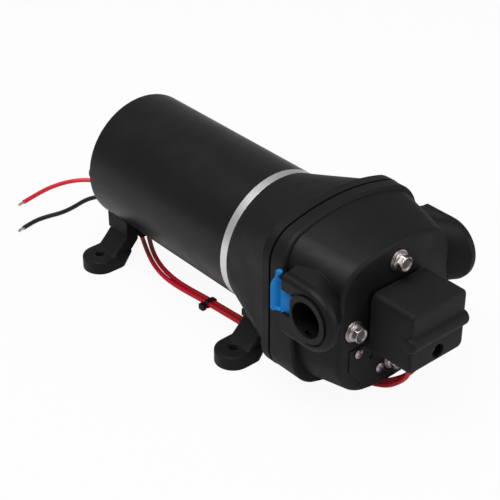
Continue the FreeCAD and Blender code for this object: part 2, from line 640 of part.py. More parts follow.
holders = []
spring_seat_z = f"({brush_foot} + brush_height)"
for place, turn in (("upper", None), ("lower", ((1, 0, 0), 180))):
    case = block(f"holder_case_{place}",
                 ("-brush_width / 2 - fit_gap - holder_wall", "-brush_breadth / 2 - fit_gap - holder_wall",
                  "commutator_radius + 2.5"),
                 ("brush_width + 2 * fit_gap + 2 * holder_wall",
                  "brush_breadth + 2 * fit_gap + 2 * holder_wall",
                  f"{holder_top} - commutator_radius - 2.5"))
    room = block(f"holder_room_{place}", ("-brush_width / 2 - fit_gap", "-brush_breadth / 2 - fit_gap",
                                          "commutator_radius"),
                 ("brush_width + 2 * fit_gap", "brush_breadth + 2 * fit_gap",
                  f"{holder_top} - commutator_radius - holder_wall"))
    holder = less(f"holder_{place}", case, room)
    put(holder, (holder_x, "0", "axis_height"), turn)
    holders.append(holder)
    sign = "" if place == "upper" else "-"
    low = brush_foot if place == "upper" else f"-({brush_foot} + brush_height)"
    node(f"brush_{place}", block(f"carbon_{place}",
                                 (f"{holder_x} - brush_width / 2", "-brush_breadth / 2", over_axis(low)),
                                 ("brush_width", "brush_breadth", "brush_height")))
    along = "+Z" if place == "upper" else "-Z"
    start = over_axis(f"{sign}({spring_seat_z} + spring_wire / 2 + 0.05)")
    node(f"brush_spring_{place}", coil(f"spring_{place}", "spring_radius", "spring_wire",
                                       f"({holder_top} - holder_wall - {spring_seat_z} - 0.1)", 7,
                                       (holder_x, "0", start), along))
node("brush_holders", group("holder_pair", holders))

# Rear lead grommet, with a hole for each of the two leads
grommet_z = over_axis("-grommet_drop")
grommet_body = turned("grommet_body", [
    (f"{can_rear} - cap_lip - 1.6", 0),
    (f"{can_rear} - cap_lip - 1.6", "grommet_radius - 0.8"),
    (f"{can_rear} - cap_lip - 0.8", "grommet_radius"),
    (f"{can_rear} - cap_lip", "grommet_radius"),
    (f"{can_rear} - cap_lip", "grommet_radius - 1.5"),
    (f"{can_rear} - cap_lip + cap_wall", "grommet_radius - 1.5"),
    (f"{can_rear} - cap_lip + cap_wall", 0),
], ("0", "grommet_side", grommet_z))
grommet_bores = [
    rod(f"grommet_bore_{side}", "lead_radius + 0.02", "cap_wall + 4",
        (f"{can_rear} - cap_lip - 2.6", f"grommet_side {sign} lead_pitch / 2", grommet_z))
    for side, sign in (("motor", "-"), ("supply", "+"))
]
node("lead_grommet", less("grommet_bored", grommet_body, *grommet_bores))

# Wobble drive: eccentric hub on the shaft, tilted cam bearing, wobble plate with its four pistons. The tilted
# pieces are laid out about the point where the tilted axis meets the motor axis, in the diaphragm's middle.
tilt_turn = ((0, 1, 0), -value("tilt_degrees"))
tilt_point = (diaphragm_middle, "0", "axis_height")
hub_start = f"({diaphragm_middle} - cam_bearing_back - cam_bearing_width - 1 - hub_length)"
hub_weight = rod("hub_weight", "hub_radius", "hub_length", (hub_start, "0", "axis_height"))
hub_flat = block("hub_flat", (f"{hub_start} - 1", "-hub_radius", over_axis("shaft_radius + 3.5")),
                 ("hub_length + 2", "2 * hub_radius", "hub_radius"))
journal = rod("journal", "journal_radius", "cam_bearing_width + 1.6",
              ("-cam_bearing_back - cam_bearing_width - 1.6", "0", "0"))
journal_tilted = group("journal_tilted", [journal])
put(journal_tilted, tilt_point, tilt_turn)
hub_bore = rod("hub_bore", "shaft_radius", "housing_length", (f"{hub_start} - 1", "0", "axis_height"))
hub_solid = joined("hub_solid", less("hub_weight_flat", hub_weight, hub_flat), journal_tilted)
node("eccentric_hub", less("hub_bored", hub_solid, hub_bore))

cam_start = "(-cam_bearing_back - cam_bearing_width)"
cam_middle = "((journal_radius + cam_bearing_radius) / 2)"
local = ("0", "0", "0")
cam_inner = ring("cam_inner_race", cam_start, "-cam_bearing_back", "journal_radius",
                 "journal_radius + race_wall + 0.6", local)
put(cam_inner, tilt_point, tilt_turn)
node("cam_bearing_inner", cam_inner)
cam_outer = turned("cam_outer_race", [
    (cam_start, "cam_bearing_radius - race_wall - 0.6"), (cam_start, "cam_bearing_radius"),
    ("-cam_bearing_back", "cam_bearing_radius"), ("-cam_bearing_back",
                                                  "cam_bearing_radius - race_wall - 0.6"),
    ("-cam_bearing_back - 0.8", "cam_bearing_radius - race_wall - 0.6"), ("-cam_bearing_back - 0.8",
                                                                          f"{cam_middle} - 1"),
    ("-cam_bearing_back - 1.2", f"{cam_middle} - 1"), ("-cam_bearing_back - 1.2",
                                                       "cam_bearing_radius - race_wall - 0.6"),
    (f"{cam_start} + 1.2", "cam_bearing_radius - race_wall - 0.6"), (f"{cam_start} + 1.2",
                                                                     f"{cam_middle} - 1"),
    (f"{cam_start} + 0.8", f"{cam_middle} - 1"), (f"{cam_start} + 0.8",
                                                  "cam_bearing_radius - race_wall - 0.6"),
], local)
put(cam_outer, tilt_point, tilt_turn)
node("cam_bearing_outer", cam_outer)

socket = turned("plate_socket", [
    (cam_start, "cam_bearing_radius"),
    (cam_start, "cam_bearing_radius + socket_wall"),
    ("-cam_bearing_back + plate_thickness", "cam_bearing_radius + socket_wall"),
    ("-cam_bearing_back + plate_thickness", 0),
    ("-cam_bearing_back + 0.6", 0),
    ("-cam_bearing_back + 0.6", "cam_bearing_radius - race_wall"),
    ("-cam_bearing_back", "cam_bearing_radius - race_wall"),
    ("-cam_bearing_back", "cam_bearing_radius"),
], local)
corners = [(sign_y, sign_z) for sign_y in ("-", "") for sign_z in ("-", "")]
piston_y = "piston_circle * sqrt(0.5)"
pads = []
pad_holes = []
piston_discs = []
piston_screws = []
for number, (sign_y, sign_z) in enumerate(corners, 1):
    across, up = f"{sign_y}{piston_y}", f"{sign_z}{piston_y}"
    pads.append(rod(f"pad_{number}", "pad_radius", "cam_bearing_back - piston_gap",
                    ("-cam_bearing_back", across, up)))
    pad_holes.append(rod(f"pad_hole_{number}", "small_screw_radius", "8",
                         ("-piston_gap - 8 + 0.01", across, up)))
    disc_x = "piston_gap"
    neck = rod(f"neck_{number}", "neck_radius", "2 * piston_gap", ("-piston_gap", across, up))
    disc = rod(f"disc_{number}", "disc_radius", "disc_thickness", (disc_x, across, up))
    bore = rod(f"disc_bore_{number}", "small_screw_radius", "4 * piston_gap", ("-piston_gap - 1", across, up))
    piston_discs.append(less(f"piston_{number}", joined(f"piston_solid_{number}", neck, disc), bore))
    screw = joined(f"piston_screw_{number}",
                   rod(f"piston_shank_{number}", "small_screw_radius", "2 * piston_gap + disc_thickness + 7",
                       ("-piston_gap - 7", across, up)),
                   rod(f"piston_pan_{number}", "small_screw_radius * 2.1", "small_screw_radius * 1.5",
                       ("piston_gap + disc_thickness", across, up)))
    cross = block(f"piston_slot_{number}", ("piston_gap + disc_thickness + 1.4", f"{across} - 2.2",
                                            f"{up} - 0.4"), (2, 4.4, 0.8))
    piston_screws.append(less(f"piston_screw_cut_{number}", screw, cross))
plate = less("plate_drilled", joined("plate_solid", socket, *pads),
             rod("plate_bearing_room", "cam_bearing_radius", "cam_bearing_width", (cam_start, "0", "0")),
             *pad_holes)
for name, thing in (("wobble_plate", plate), ("piston_discs", group("disc_set", piston_discs)),
                    ("piston_screws", group("piston_screw_set", piston_screws))):
    put(thing, tilt_point, tilt_turn)
    node(name, thing)


def outline(x, half_width, top, bottom, corner, dome, low_corner=None):
    """The pump's rounded square outline at a station: domed top and belly, straight sides, round corners."""
    def vector(y, z):
        return FreeCAD.Vector(x, y, axis + z)

    def tangent_points(reach, radius, bulge):
        """Corner centre, and where the corner meets the dome, for the upper right corner."""
        centre_y = half_width - radius
        middle = reach - bulge
        centre_z = middle + math.sqrt((bulge - radius) ** 2 - centre_y ** 2)
        scale = bulge / (bulge - radius)
        return centre_y, centre_z, centre_y * scale, middle + (centre_z - middle) * scale

    axis = value("axis_height")
    edges = []
    for sign, reach, radius in ((1, top, corner), (-1, bottom, low_corner or corner)):
        centre_y, centre_z, meet_y, meet_z = tangent_points(reach, radius, dome)
        turn = math.atan2(meet_z - centre_z, meet_y - centre_y) / 2
        mid_y = centre_y + radius * math.cos(turn)
        mid_z = centre_z + radius * math.sin(turn)
        right = Part.Arc(vector(half_width, sign * centre_z), vector(mid_y, sign * mid_z),
                         vector(meet_y, sign * meet_z))
        crown = Part.Arc(vector(meet_y, sign * meet_z), vector(0, sign * reach),
                         vector(-meet_y, sign * meet_z))
        left = Part.Arc(vector(-meet_y, sign * meet_z), vector(-mid_y, sign * mid_z),
                        vector(-half_width, sign * centre_z))
        edges.append([right, crown, left])
    upper, lower = edges
    left_side = Part.LineSegment(upper[2].EndPoint, lower[2].EndPoint)
    right_side = Part.LineSegment(lower[0].StartPoint, upper[0].StartPoint)
    loop = upper + [left_side] + [lower[2], lower[1], lower[0]] + [right_side]
    return Part.Wire(Part.__sortEdges__([edge.toShape() for edge in loop]))


def solid_between(*wires):
    return Part.makeLoft(list(wires), True, True)


def slab(wire, length):
    """A wire across the pump, given a length along it."""
    return Part.Face(wire).extrude(FreeCAD.Vector(length, 0, 0))


def bar(radius, length, x, y, z, direction=(1, 0, 0)):
    """A cylinder for cutting and adding, z measured from the axis."""
    start = FreeCAD.Vector(x, y, value("axis_height") + z)
    return Part.makeCylinder(radius, length, start, FreeCAD.Vector(*direction))


def brick(low, high):
    """A box between two corners, z measured from the axis."""
    size = [b - a for a, b in zip(low, high)]
    return Part.makeBox(*size, FreeCAD.Vector(low[0], low[1], value("axis_height") + low[2]))


def softened(shape, radius, chosen):
    """The shape with the chosen edges rounded."""
    edges = [edge for edge in shape.Edges if chosen(edge)]
    return shape.makeFillet(radius, edges) if edges else shape


FLANGE = [value(name) for name in ("flange_half_width", "flange_top", "flange_bottom", "flange_corner",
                                   "flange_dome")]


def flange_outline(x, inset):
    half_width, top, bottom, corner, dome = FLANGE
    return outline(x, half_width - inset, top - inset, bottom - inset, corner - inset, dome - inset)


# The head screws in parts of their circle's radius: the lowest one lies a little further from the axis
screw_places = [("top", 0, 0.953), ("left", -0.953, 0), ("bottom", 0, -1), ("right", 0.953, 0)]


def screw_bars(radius, start, length, outward=0):
    """A cylinder on the line of each head screw, or a little further out."""
    reach = value("screw_circle") + outward
    return [bar(radius, length, start, reach * y, reach * z) for place, y, z in screw_places]


# Drive housing: a flaring shell with a rounded square flange, screw bosses and the block for the front feet
x_bell = value(bell_front)
x_seam = value(housing_front)
x_flange = x_seam - value("flange_length")
lip = value("flange_lip")
foot_x = value("foot_spacing_x") / 2
axis_z = value("axis_height")
seat_z = value("seat_height") - axis_z
seat_half = value("seat_half_width")
seat_run = value("seat_half_length")
can_r = value("can_radius")
nearly_round = outline(x_bell, can_r, can_r, can_r, can_r * 0.98, can_r * 1.02)
skirt = solid_between(nearly_round, flange_outline(x_flange, lip))
flange = slab(flange_outline(x_flange, 0), value("flange_length"))
flange = softened(flange, 1,
                  lambda edge: edge.BoundBox.XLength < 0.01 and edge.BoundBox.XMax < x_flange + 0.01)
seat_block = brick((foot_x - seat_run, -seat_half, seat_z),
                   (foot_x + seat_run, seat_half, -value("housing_bore") + 1))
housing = skirt.fuse([flange, seat_block]).removeSplitter()
wall_end = value("housing_end_wall")
cavity = bar(value("housing_bore"), x_seam - x_bell - wall_end + 1, x_bell + wall_end, 0, 0)
housing = housing.cut([cavity, bar(can_r + value("running_gap"), can_r, x_bell - can_r, 0, 0)])
boss_start = x_seam - value("screw_boss_length")
housing = housing.fuse(screw_bars(value("screw_boss"), boss_start, value("screw_boss_length"))
                       + screw_bars(value("screw_boss"), boss_start, value("screw_boss_length"), 3))
neck_hole = bar(value("hub_radius") + 2, wall_end + 2, x_bell - 1, 0, 0)
housing = housing.cut([neck_hole] + screw_bars(value("screw_radius") + 0.02,
                                               boss_start - 1, value("screw_boss_length") + 2))
bell_reach = value(bell_screw_circle) * math.sqrt(0.5)
for side_y in (-1, 1):
    for side_z in (-1, 1):
        housing = housing.cut(bar(value("small_screw_radius + fit_gap"), wall_end + 2, x_bell - 1,
                                  side_y * bell_reach, side_z * bell_reach))
lug_w = value("lug_width")
lug_h = value("lug_height")
gap = value("fit_gap")
lug_y = seat_half - lug_w - 3
leg_room = value("foot_spacing_y") / 2 - seat_half
for side in (-1, 1):
    near, far = sorted((side * (lug_y - gap), side * (lug_y + lug_w + gap)))
    lug_room = brick((foot_x - seat_run - 1, near, seat_z - 1),
                     (foot_x + seat_run + 1, far, seat_z + lug_h + gap))
    near, far = sorted((side * seat_half, side * (seat_half + leg_room)))
    beside_block = brick((foot_x - seat_run - 1, near, seat_z - leg_room),
                         (foot_x + seat_run + 1, far, seat_z + value("running_gap")))
    near, far = sorted((side * (lug_y - 1.5), side * (seat_half + leg_room)))
    under_block = brick((foot_x - seat_run - 1, near, seat_z - leg_room),
                        (foot_x + seat_run + 1, far, seat_z))
    housing = housing.cut([lug_room, beside_block, under_block])
node("drive_housing", frozen("housing_shell", housing.removeSplitter()))

bell_screws = []
for side, across, up in bell_screw_places:
    y_place = f"{across}{bell_screw_circle} * sqrt(0.5)"
    z_place = over_axis(f"{up}{bell_screw_circle} * sqrt(0.5)")
    shank = rod(f"bell_screw_shank_{side}", "small_screw_radius", "bell_ring + housing_end_wall",
                (can_front, y_place, z_place))
    pan = rod(f"bell_screw_pan_{side}", "small_screw_radius * 2", "small_screw_radius * 1.4",
              (f"{bell_front} + housing_end_wall", y_place, z_place))
    bell_screws.append(joined(f"bell_screw_{side}", shank, pan))
node("bell_screws", group("bell_screw_set", bell_screws))

# Diaphragm: a rubber sheet clamped in the seam, with a hole and a raised bead for each piston
sheet_solid = slab(flange_outline(x_seam, value("seam_inset")), value("seam"))
piston_reach = value(piston_y)
piston_hole = value("neck_radius") + 1
holes = [bar(piston_hole, 4, x_seam - 1, y * piston_reach, z * piston_reach) for y in (-1, 1)
         for z in (-1, 1)]
sheet_solid = sheet_solid.cut(holes + screw_bars(value("screw_radius") + gap, x_seam - 1, 4))
node("diaphragm", frozen("diaphragm_sheet", sheet_solid))

# Valve plate: four pump chambers at the back, valve seats in the web at the front
x_head = value(head_rear)
x_web = x_head + value("chamber_depth")
x_plate = value(plate_front)
disc_r = value("disc_radius")
chamber_r = disc_r + value("chamber_clearance")
plate_r = value("head_bore") - value("fit_gap")
valve_plate = bar(plate_r, x_plate - x_head, x_head, 0, 0)
plate_cuts = screw_bars(value("screw_radius") + gap, x_head - 1, 30)
root_half = math.sqrt(0.5)
valve_reach = value("valve_circle") * root_half
outlet_reach = value("outlet_valve_radius") * 0.82 * root_half
for y in (-1, 1):
    for z in (-1, 1):
        plate_cuts.append(bar(chamber_r, value("chamber_depth") + 1, x_head - 1, y * piston_reach,
                              z * piston_reach))
        plate_cuts.append(bar(1.1, 8, x_web - 1, y * valve_reach, z * valve_reach))
        for turn in range(4):
            spoke = math.radians(45 + 90 * turn)
            plate_cuts.append(bar(0.8, 8, x_web - 1, y * valve_reach + 2.8 * math.cos(spoke),
                                  z * valve_reach + 2.8 * math.sin(spoke)))
        plate_cuts.append(bar(1.3, 8, x_web - 1, y * outlet_reach, z * outlet_reach))
plate_cuts.append(bar(1.6, 8, x_web - 3, 0, 0))
node("valve_plate", frozen("valve_plate_moulding", valve_plate.cut(plate_cuts)))

inlet_valves = []
for number, (sign_y, sign_z) in enumerate(corners, 1):
    across = f"{sign_y}valve_circle * sqrt(0.5)"
    up = over_axis(f"{sign_z}valve_circle * sqrt(0.5)")
    inlet_valves.append(turned(f"inlet_valve_{number}", [
        (f"{head_rear} + chamber_depth - 0.9", 0),
        (f"{head_rear} + chamber_depth - 0.7", "valve_radius - 1"),
        (f"{head_rear} + chamber_depth - 0.4", "valve_radius"),
        (f"{head_rear} + chamber_depth", "valve_radius"),
        (f"{head_rear} + chamber_depth", "1.08"),
        (plate_front, "1.08"),
        (plate_front, "1.9"),
        (f"{plate_front} + 1.6", "1.2"),
        (f"{plate_front} + 1.6", 0),
    ], ("0", across, up)))
node("inlet_valves", group("inlet_valve_set", inlet_valves))
node("outlet_valve", turned("outlet_valve_dome", [
    (f"{head_rear} + chamber_depth + 0.4", 0),
    (f"{head_rear} + chamber_depth + 0.4", "1.58"),
    (plate_front, "1.58"),
    (plate_front, "outlet_valve_radius"),
    (f"{plate_front} + 0.8", "outlet_valve_radius"),
    (f"{plate_front} + 2.6", "outlet_valve_radius * 0.4"),
    (f"{plate_front} + 2.8", 0),
]))

# Pump head: two steps, a port boss on each side, galleries inside
x_front = value(head_front)
half_width, top, bottom, corner, dome = FLANGE
step = value("tier_inset")
lean = value("head_taper")
belly = value("head_belly")
x_port = value(port_x)
z_port = value("port_height")
span = value("port_half_span")
boss_r = value("boss_radius")
root_r = boss_r + value("boss_shoulder")
x_step = x_head + value("tier_length")
step_tilt = value("tier_tilt_degrees")
first_tier = slab(flange_outline(x_head, value("running_gap")), 2 * value("tier_length"))
ahead = 3 * half_width
ahead_of_step = Part.makeBox(ahead, ahead, ahead, FreeCAD.Vector(0, -ahead / 2, -ahead / 2))
ahead_of_step.Placement = FreeCAD.Placement(FreeCAD.Vector(x_step, 0, axis_z),
                                            FreeCAD.Rotation(FreeCAD.Vector(0, 1, 0), -step_tilt))


def on_the_step(edge):
    """True for the edges round the leaning front face of the first step."""
    slope = math.tan(math.radians(step_tilt))
    misses = [x_step - (end.Z - axis_z) * slope - end.X for end in edge.Vertexes]
    return max(abs(miss) for miss in misses) < 0.01


first_tier = softened(first_tier.cut(ahead_of_step), value("tier_fillet"), on_the_step)
rear_outline = outline(x_head + value("second_start"), half_width - step, top - step, bottom - belly,
                       corner - step, dome)
front_outline = outline(x_front, half_width - step - lean, top - step - lean, bottom - belly,
                        value("head_corner"), value("head_front_dome"), value("head_low_corner"))
second_tier = softened(solid_between(rear_outline, front_outline), value("head_fillet"),
                       lambda edge: edge.BoundBox.XLength < 0.01 and edge.BoundBox.XMin > x_front - 0.01)
boss_back = x_port - value("boss_rear")


def tongue(y, radius, centre_x):
    """The outline of a port boss: straight behind, half round in front, seen along the port's axis."""
    z_axis = axis_z + z_port
    lower_rear = FreeCAD.Vector(boss_back, y, z_axis - radius)
    upper_rear = FreeCAD.Vector(boss_back, y, z_axis + radius)
    lower_front = FreeCAD.Vector(centre_x, y, z_axis - radius)
    upper_front = FreeCAD.Vector(centre_x, y, z_axis + radius)
    nose = FreeCAD.Vector(centre_x + radius, y, z_axis)
    edges = [Part.LineSegment(upper_rear, lower_rear), Part.LineSegment(lower_rear, lower_front),
             Part.Arc(lower_front, nose, upper_front), Part.LineSegment(upper_front, upper_rear)]
    return Part.Wire([edge.toShape() for edge in edges])


groove_r = value("ring_radius")
groove_w = value("groove_width")
groove_shift = groove_w / 2 * math.sqrt(0.5)
slide_room = value("running_gap")
clip_inner = span - value("clip_depth")
clip_outer = clip_inner + value("clip_thickness")
fork_in = value("fork_gap")
fork_out = fork_in + value("fork_width")
fork_reach = fork_out + slide_room
yoke_front = x_port - value("port_radius") - 2
fork_front = x_port + value("fork_tip")
web_low = value("clip_web_low")
web_high = value("clip_web_high")
straight = value("boss_straight")
solids = [second_tier]
cuts = []
# The left clip has its knob on top. The same moulding serves the right port, so it sits there turned over.
for side in (-1, 1):
    root_y = side * (half_width - step - lean - 0.8)
    mid_y = side * (span - straight)
    solids.append(solid_between(tongue(root_y, root_r, x_front - root_r - 0.5),
                                tongue(mid_y, boss_r, x_port)))
    outer = Part.Face(tongue(mid_y, boss_r, x_port)).extrude(FreeCAD.Vector(0, side * straight, 0))

    def on_outer_rim(edge):
        box = edge.BoundBox
        return box.YLength < 0.01 and abs(abs(box.YMin) - span) < 0.01 and box.XMax > boss_back + 0.01

    solids.append(softened(outer, value("boss_rim"), on_outer_rim))
    inward = (0, -side, 0)
    cuts.append(bar(value("port_radius"), value("port_depth"), x_port, side * span, z_port, inward))
    crescent = bar(groove_r + groove_w / 2 - 0.1, value("groove_depth"), x_port + groove_shift, side * span,
                   z_port + groove_shift, inward)
    cuts.append(crescent.cut(bar(groove_r, value("groove_depth"), x_port, side * span, z_port, inward)))
    near, far = sorted((side * (clip_inner - slide_room), side * (clip_outer + slide_room)))
    cuts.append(brick((boss_back - 1, near, z_port - fork_reach),
                      (yoke_front + slide_room, far, z_port + fork_reach)))
    for low, high in ((-fork_reach, -fork_in + 0.7), (fork_in - 0.7, fork_reach)):
        cuts.append(brick((yoke_front, near, z_port + low), (fork_front + slide_room, far, z_port + high)))
    near, far = sorted((side * (clip_inner - slide_room), side * (span + 1)))
    low, high = sorted((side * (web_low + slide_room), -side * (web_high + slide_room)))
    cuts.append(brick((boss_back - 1, near, z_port + low), (yoke_front + slide_room, far, z_port + high)))
head = first_tier.fuse(solids).removeSplitter()

x_gallery = x_plate + value("gallery_depth")
outlet_r = value("outlet_radius")
gallery_in = outlet_r + value("gallery_wall")
gallery_out = value("head_bore") - 2.6
cuts.append(bar(value("head_bore"), x_plate - x_head + 1, x_head - 1, 0, 0))
gallery = bar(gallery_out, x_gallery - x_plate + 1, x_plate - 1, 0,
              0).cut(bar(gallery_in, 20, x_plate - 2, 0, 0))
gallery = gallery.cut(screw_bars(value("screw_boss"), x_plate - 2, 30))
cuts.append(gallery)
cuts.append(bar(outlet_r, x_gallery - x_plate + 1, x_plate - 1, 0, 0))
channel = value("port_channel")
socket_end = span - value("port_depth")
link_y = (gallery_in + gallery_out) / 2
cuts.append(bar(channel, socket_end - link_y + 5, x_port, -socket_end, z_port, (0, 1, 0)))
cuts.append(bar(4.6, x_port - x_plate, x_plate, -link_y + 1, z_port))
cuts.append(bar(channel, socket_end + 4, x_port, socket_end, z_port, (0, -1, 0)))
cuts.append(bar(7.5, x_port - x_plate, x_plate, 0, z_port * 0.6))
plunger_z = value("plunger_height")
cuts.append(bar(1.6, x_front - x_port + 1, x_port, 0, plunger_z))
seal_r = outlet_r + value("gallery_wall") / 2
seal_wire = 0.75
seal_groove = bar(seal_r + seal_wire + 0.05, 2 * seal_wire + 0.1, x_plate, 0, 0)
cuts.append(seal_groove.cut(bar(seal_r - seal_wire - 0.05, 4, x_plate - 1, 0, 0)))
cuts += screw_bars(value("screw_radius") + gap, x_head - 1, value("head_length") + 2)
head = head.cut(cuts)
node("pump_head", frozen("head_moulding", head))

node("head_seal", frozen("head_seal_ring", Part.makeTorus(seal_r, seal_wire,
                                                          FreeCAD.Vector(x_plate + seal_wire + 0.02, 0,
                                                                         axis_z),
                                                          FreeCAD.Vector(1, 0, 0))))

# Head screws: hexagon flange screws with washers
washers = []
screws = []
for place, y, z in screw_places:
    across, up = f"{y} * screw_circle", over_axis(f"{z} * screw_circle")
    washers.append(ring(f"washer_{place}", head_front, f"{head_front} + washer_thickness",
                        "screw_radius + fit_gap",
                        "washer_radius", ("0", across, up)))
    seat = f"({head_front} + washer_thickness)"
    shank = rod(f"head_screw_shank_{place}", "screw_radius", "screw_length", (seat, across, up), "-X")
    collar = taper(f"head_screw_collar_{place}", "flange_head_radius", "flange_head_radius - 0.8",
                   "flange_head_height",
                   (seat, across, up))
    crown = hexagon(f"head_screw_hex_{place}", "hex_radius", "hex_height", (seat, across, up))
    dimple = taper(f"head_screw_dimple_{place}", "hex_radius - 2.2", "hex_radius - 1.4", 0.8,
                   (f"{seat} + hex_height - 0.8", across, up))
    screws.append(less(f"head_screw_{place}", joined(f"head_screw_solid_{place}", shank, collar, crown),
                       dimple))
node("housing_washers", group("washer_set", washers))
node("housing_screws", group("head_screw_set", screws))

# Slide clips: a fork that locks a hose fitting in its port, with a grip and a knob behind the boss.
# Heights are given for the left one; the right one is the same moulding turned over.
clip_back = x_port - value("clip_rear")
grip_front = clip_back + value("clip_grip_length")
grip_low = value("clip_grip_low")
grip_high = value("clip_grip_high")
waist = value("clip_waist")
knob_top = waist + value("clip_knob")
yoke_back = yoke_front - value("fork_width")
grip_outer = span - value("clip_outer_drop")
knob_back = clip_back + value("clip_grip_length") * 0.78
knob_front = boss_back - 0.4
for side, name in ((-1, "clip_left"), (1, "clip_right")):

    def plate_between(x_low, x_high, z_low, z_high, y_high):
        near, far = sorted((side * clip_inner, side * y_high))
        low, high = sorted((-side * z_low, -side * z_high))
        return brick((x_low, near, z_port + low), (x_high, far, z_port + high))

    web = plate_between(grip_front - 1, yoke_back + 1, -web_low, web_high, clip_outer)
    yoke = plate_between(yoke_back, yoke_front, -fork_out, fork_out, clip_outer)
    prongs = [plate_between(yoke_back, fork_front, low, low + value("fork_width"), clip_outer)
              for low in (-fork_out, fork_in)]
    grip = plate_between(clip_back, grip_front, -grip_low, grip_high, grip_outer)
    grip = softened(grip, 1.2, lambda edge: edge.BoundBox.ZLength > grip_high
                    and abs(edge.BoundBox.YMin) > clip_outer)
    neck_points = [(clip_back + 0.6, grip_high - 1), (grip_front, grip_high - 1),
                   (knob_front - 1.3, waist + 1),
                   (knob_back + 0.3, waist + 1)]
    neck_corners = [FreeCAD.Vector(x, side * clip_inner, axis_z + z_port - side * z)
                    for x, z in neck_points + neck_points[:1]]
    neck = Part.Face(Part.makePolygon(neck_corners))
    neck = neck.extrude(FreeCAD.Vector(0, side * (grip_outer - clip_inner), 0))
    knob = plate_between(knob_back, knob_front, waist, knob_top, grip_outer)
    knob = softened(knob, 1, lambda edge: edge.BoundBox.XLength < 0.01 and edge.BoundBox.ZLength < 0.01
                    or abs(edge.BoundBox.YMin) > clip_outer and edge.BoundBox.YLength < 0.01)
    clip = web.fuse([yoke, grip, neck, knob] + prongs)
    node(name, frozen(name + "_moulding", clip.removeSplitter()))

# Pressure switch: base on the head, diaphragm, plunger, rocker on its pin, spring, seat and adjusting screw
base_t = value("base_thickness")
stem = value("stem_radius")
plunger_r = value("plunger_radius")
pivot_z = value("pivot_height")
pin_r = value("pivot_radius")
screw_z = -value("screw_drop")
adjuster = value("adjuster_radius")
boot_half = value("switch_half_width")
boot_top = value("switch_top")
frame_top = boot_top - value("boot_wall") - 0.6
boot_bottom = value("switch_bottom")
frame_low = 0.6 - boot_bottom
x_boot = x_front + value("switch_back")
x_boot_front = x_front + value("switch_length")
x_inside = x_boot_front - value("boot_wall")
x_base = x_front + base_t
rocker_t = value("rocker_thickness")
rocker_half = value("rocker_half_width")
x_rocker = x_base + value("rocker_stand_off")
x_pivot = x_rocker + rocker_t / 2
frame_w = value("frame_wall")
frame_half = value("frame_half_width")
wall_x = x_inside - value("frame_set_back") - frame_w
disc_r = value("switch_diaphragm_radius")
disc_t = value("switch_diaphragm_thickness")
slide_gap = 0.08


def both_sides(x_low, x_high, near_y, far_y, z_low, z_high):
    """Two equal boxes, one on each side of the middle."""
    return [brick((x_low, -far_y, z_low), (x_high, -near_y, z_high)),
            brick((x_low, near_y, z_low), (x_high, far_y, z_high))]


base = brick((x_front, -frame_half, plunger_z - frame_half), (x_base, frame_half, frame_top))
base = base.fuse(both_sides(x_front, wall_x + frame_w, frame_half, frame_half + frame_w, frame_low,
                            frame_top))
cross_wall = brick((wall_x, -frame_half - frame_w, frame_low),
                   (wall_x + frame_w, frame_half + frame_w, screw_z + 5))
pin_cheeks = both_sides(x_base - 1, x_pivot + 3, rocker_half + 1.2, rocker_half + 4, pivot_z - 3, frame_top)
base = base.fuse([cross_wall] + pin_cheeks)
base = base.cut([
    bar(disc_r, disc_t, x_front, 0, plunger_z),
    bar(plunger_r + 0.6, base_t - 2.2, x_front, 0, plunger_z),
    bar(stem + slide_gap, base_t + 2, x_front - 1, 0, plunger_z),
    bar(adjuster + slide_gap, frame_w + 2, wall_x - 1, 0, screw_z),
    bar(pin_r + 0.02, 2 * rocker_half + 9, x_pivot, -rocker_half - 4.5, pivot_z, (0, 1, 0)),
])
node("switch_base", frozen("switch_base_moulding", base.removeSplitter()))
plunger_at = over_axis("plunger_height")
node("switch_diaphragm", rod("switch_diaphragm_disc", "switch_diaphragm_radius - fit_gap",
                             "switch_diaphragm_thickness",
                             (head_front, "0", plunger_at)))
plunger_x = f"({head_front} + switch_diaphragm_thickness + running_gap)"
stem_length = "base_thickness + rocker_stand_off - switch_diaphragm_thickness - 2 * running_gap"
node("switch_plunger", joined("plunger_solid",
                              rod("plunger_plate", "plunger_radius", "1.8", (plunger_x, "0", plunger_at)),
                              rod("plunger_stem", "stem_radius", stem_length, (plunger_x, "0", plunger_at))))
rocker = brick((x_rocker, -rocker_half, screw_z - 2.2), (x_rocker + rocker_t, rocker_half, pivot_z + 1.6))
rocker = rocker.fuse(bar(pin_r + 1, 2 * rocker_half, x_pivot, -rocker_half, pivot_z, (0, 1, 0)))
rocker = rocker.cut(bar(pin_r + 0.05, 4 * rocker_half, x_pivot, -2 * rocker_half, pivot_z, (0, 1, 0)))
contact = bar(1.2, 0.8, x_rocker + rocker_t, 0, 0)
node("switch_rocker", frozen("rocker_plate", rocker.fuse(contact).removeSplitter()))
rocker_front = f"({head_front} + base_thickness + rocker_stand_off + rocker_thickness)"
pin_end = "(rocker_half_width + 4)"
node("rocker_pin", rod("rocker_pin_rod", "pivot_radius", f"2 * {pin_end}",
                       (f"{rocker_front} - rocker_thickness / 2", f"-{pin_end}", over_axis("pivot_height")),
                       "+Y"))
adjuster_z = over_axis("-screw_drop")
spring_x = f"({rocker_front} + switch_spring_wire / 2 + 0.05)"
node("switch_spring", coil("switch_spring_coil", "switch_spring_radius", "switch_spring_wire",
                           "switch_spring_length", 4,
                           (spring_x, "0", adjuster_z), "+X"))
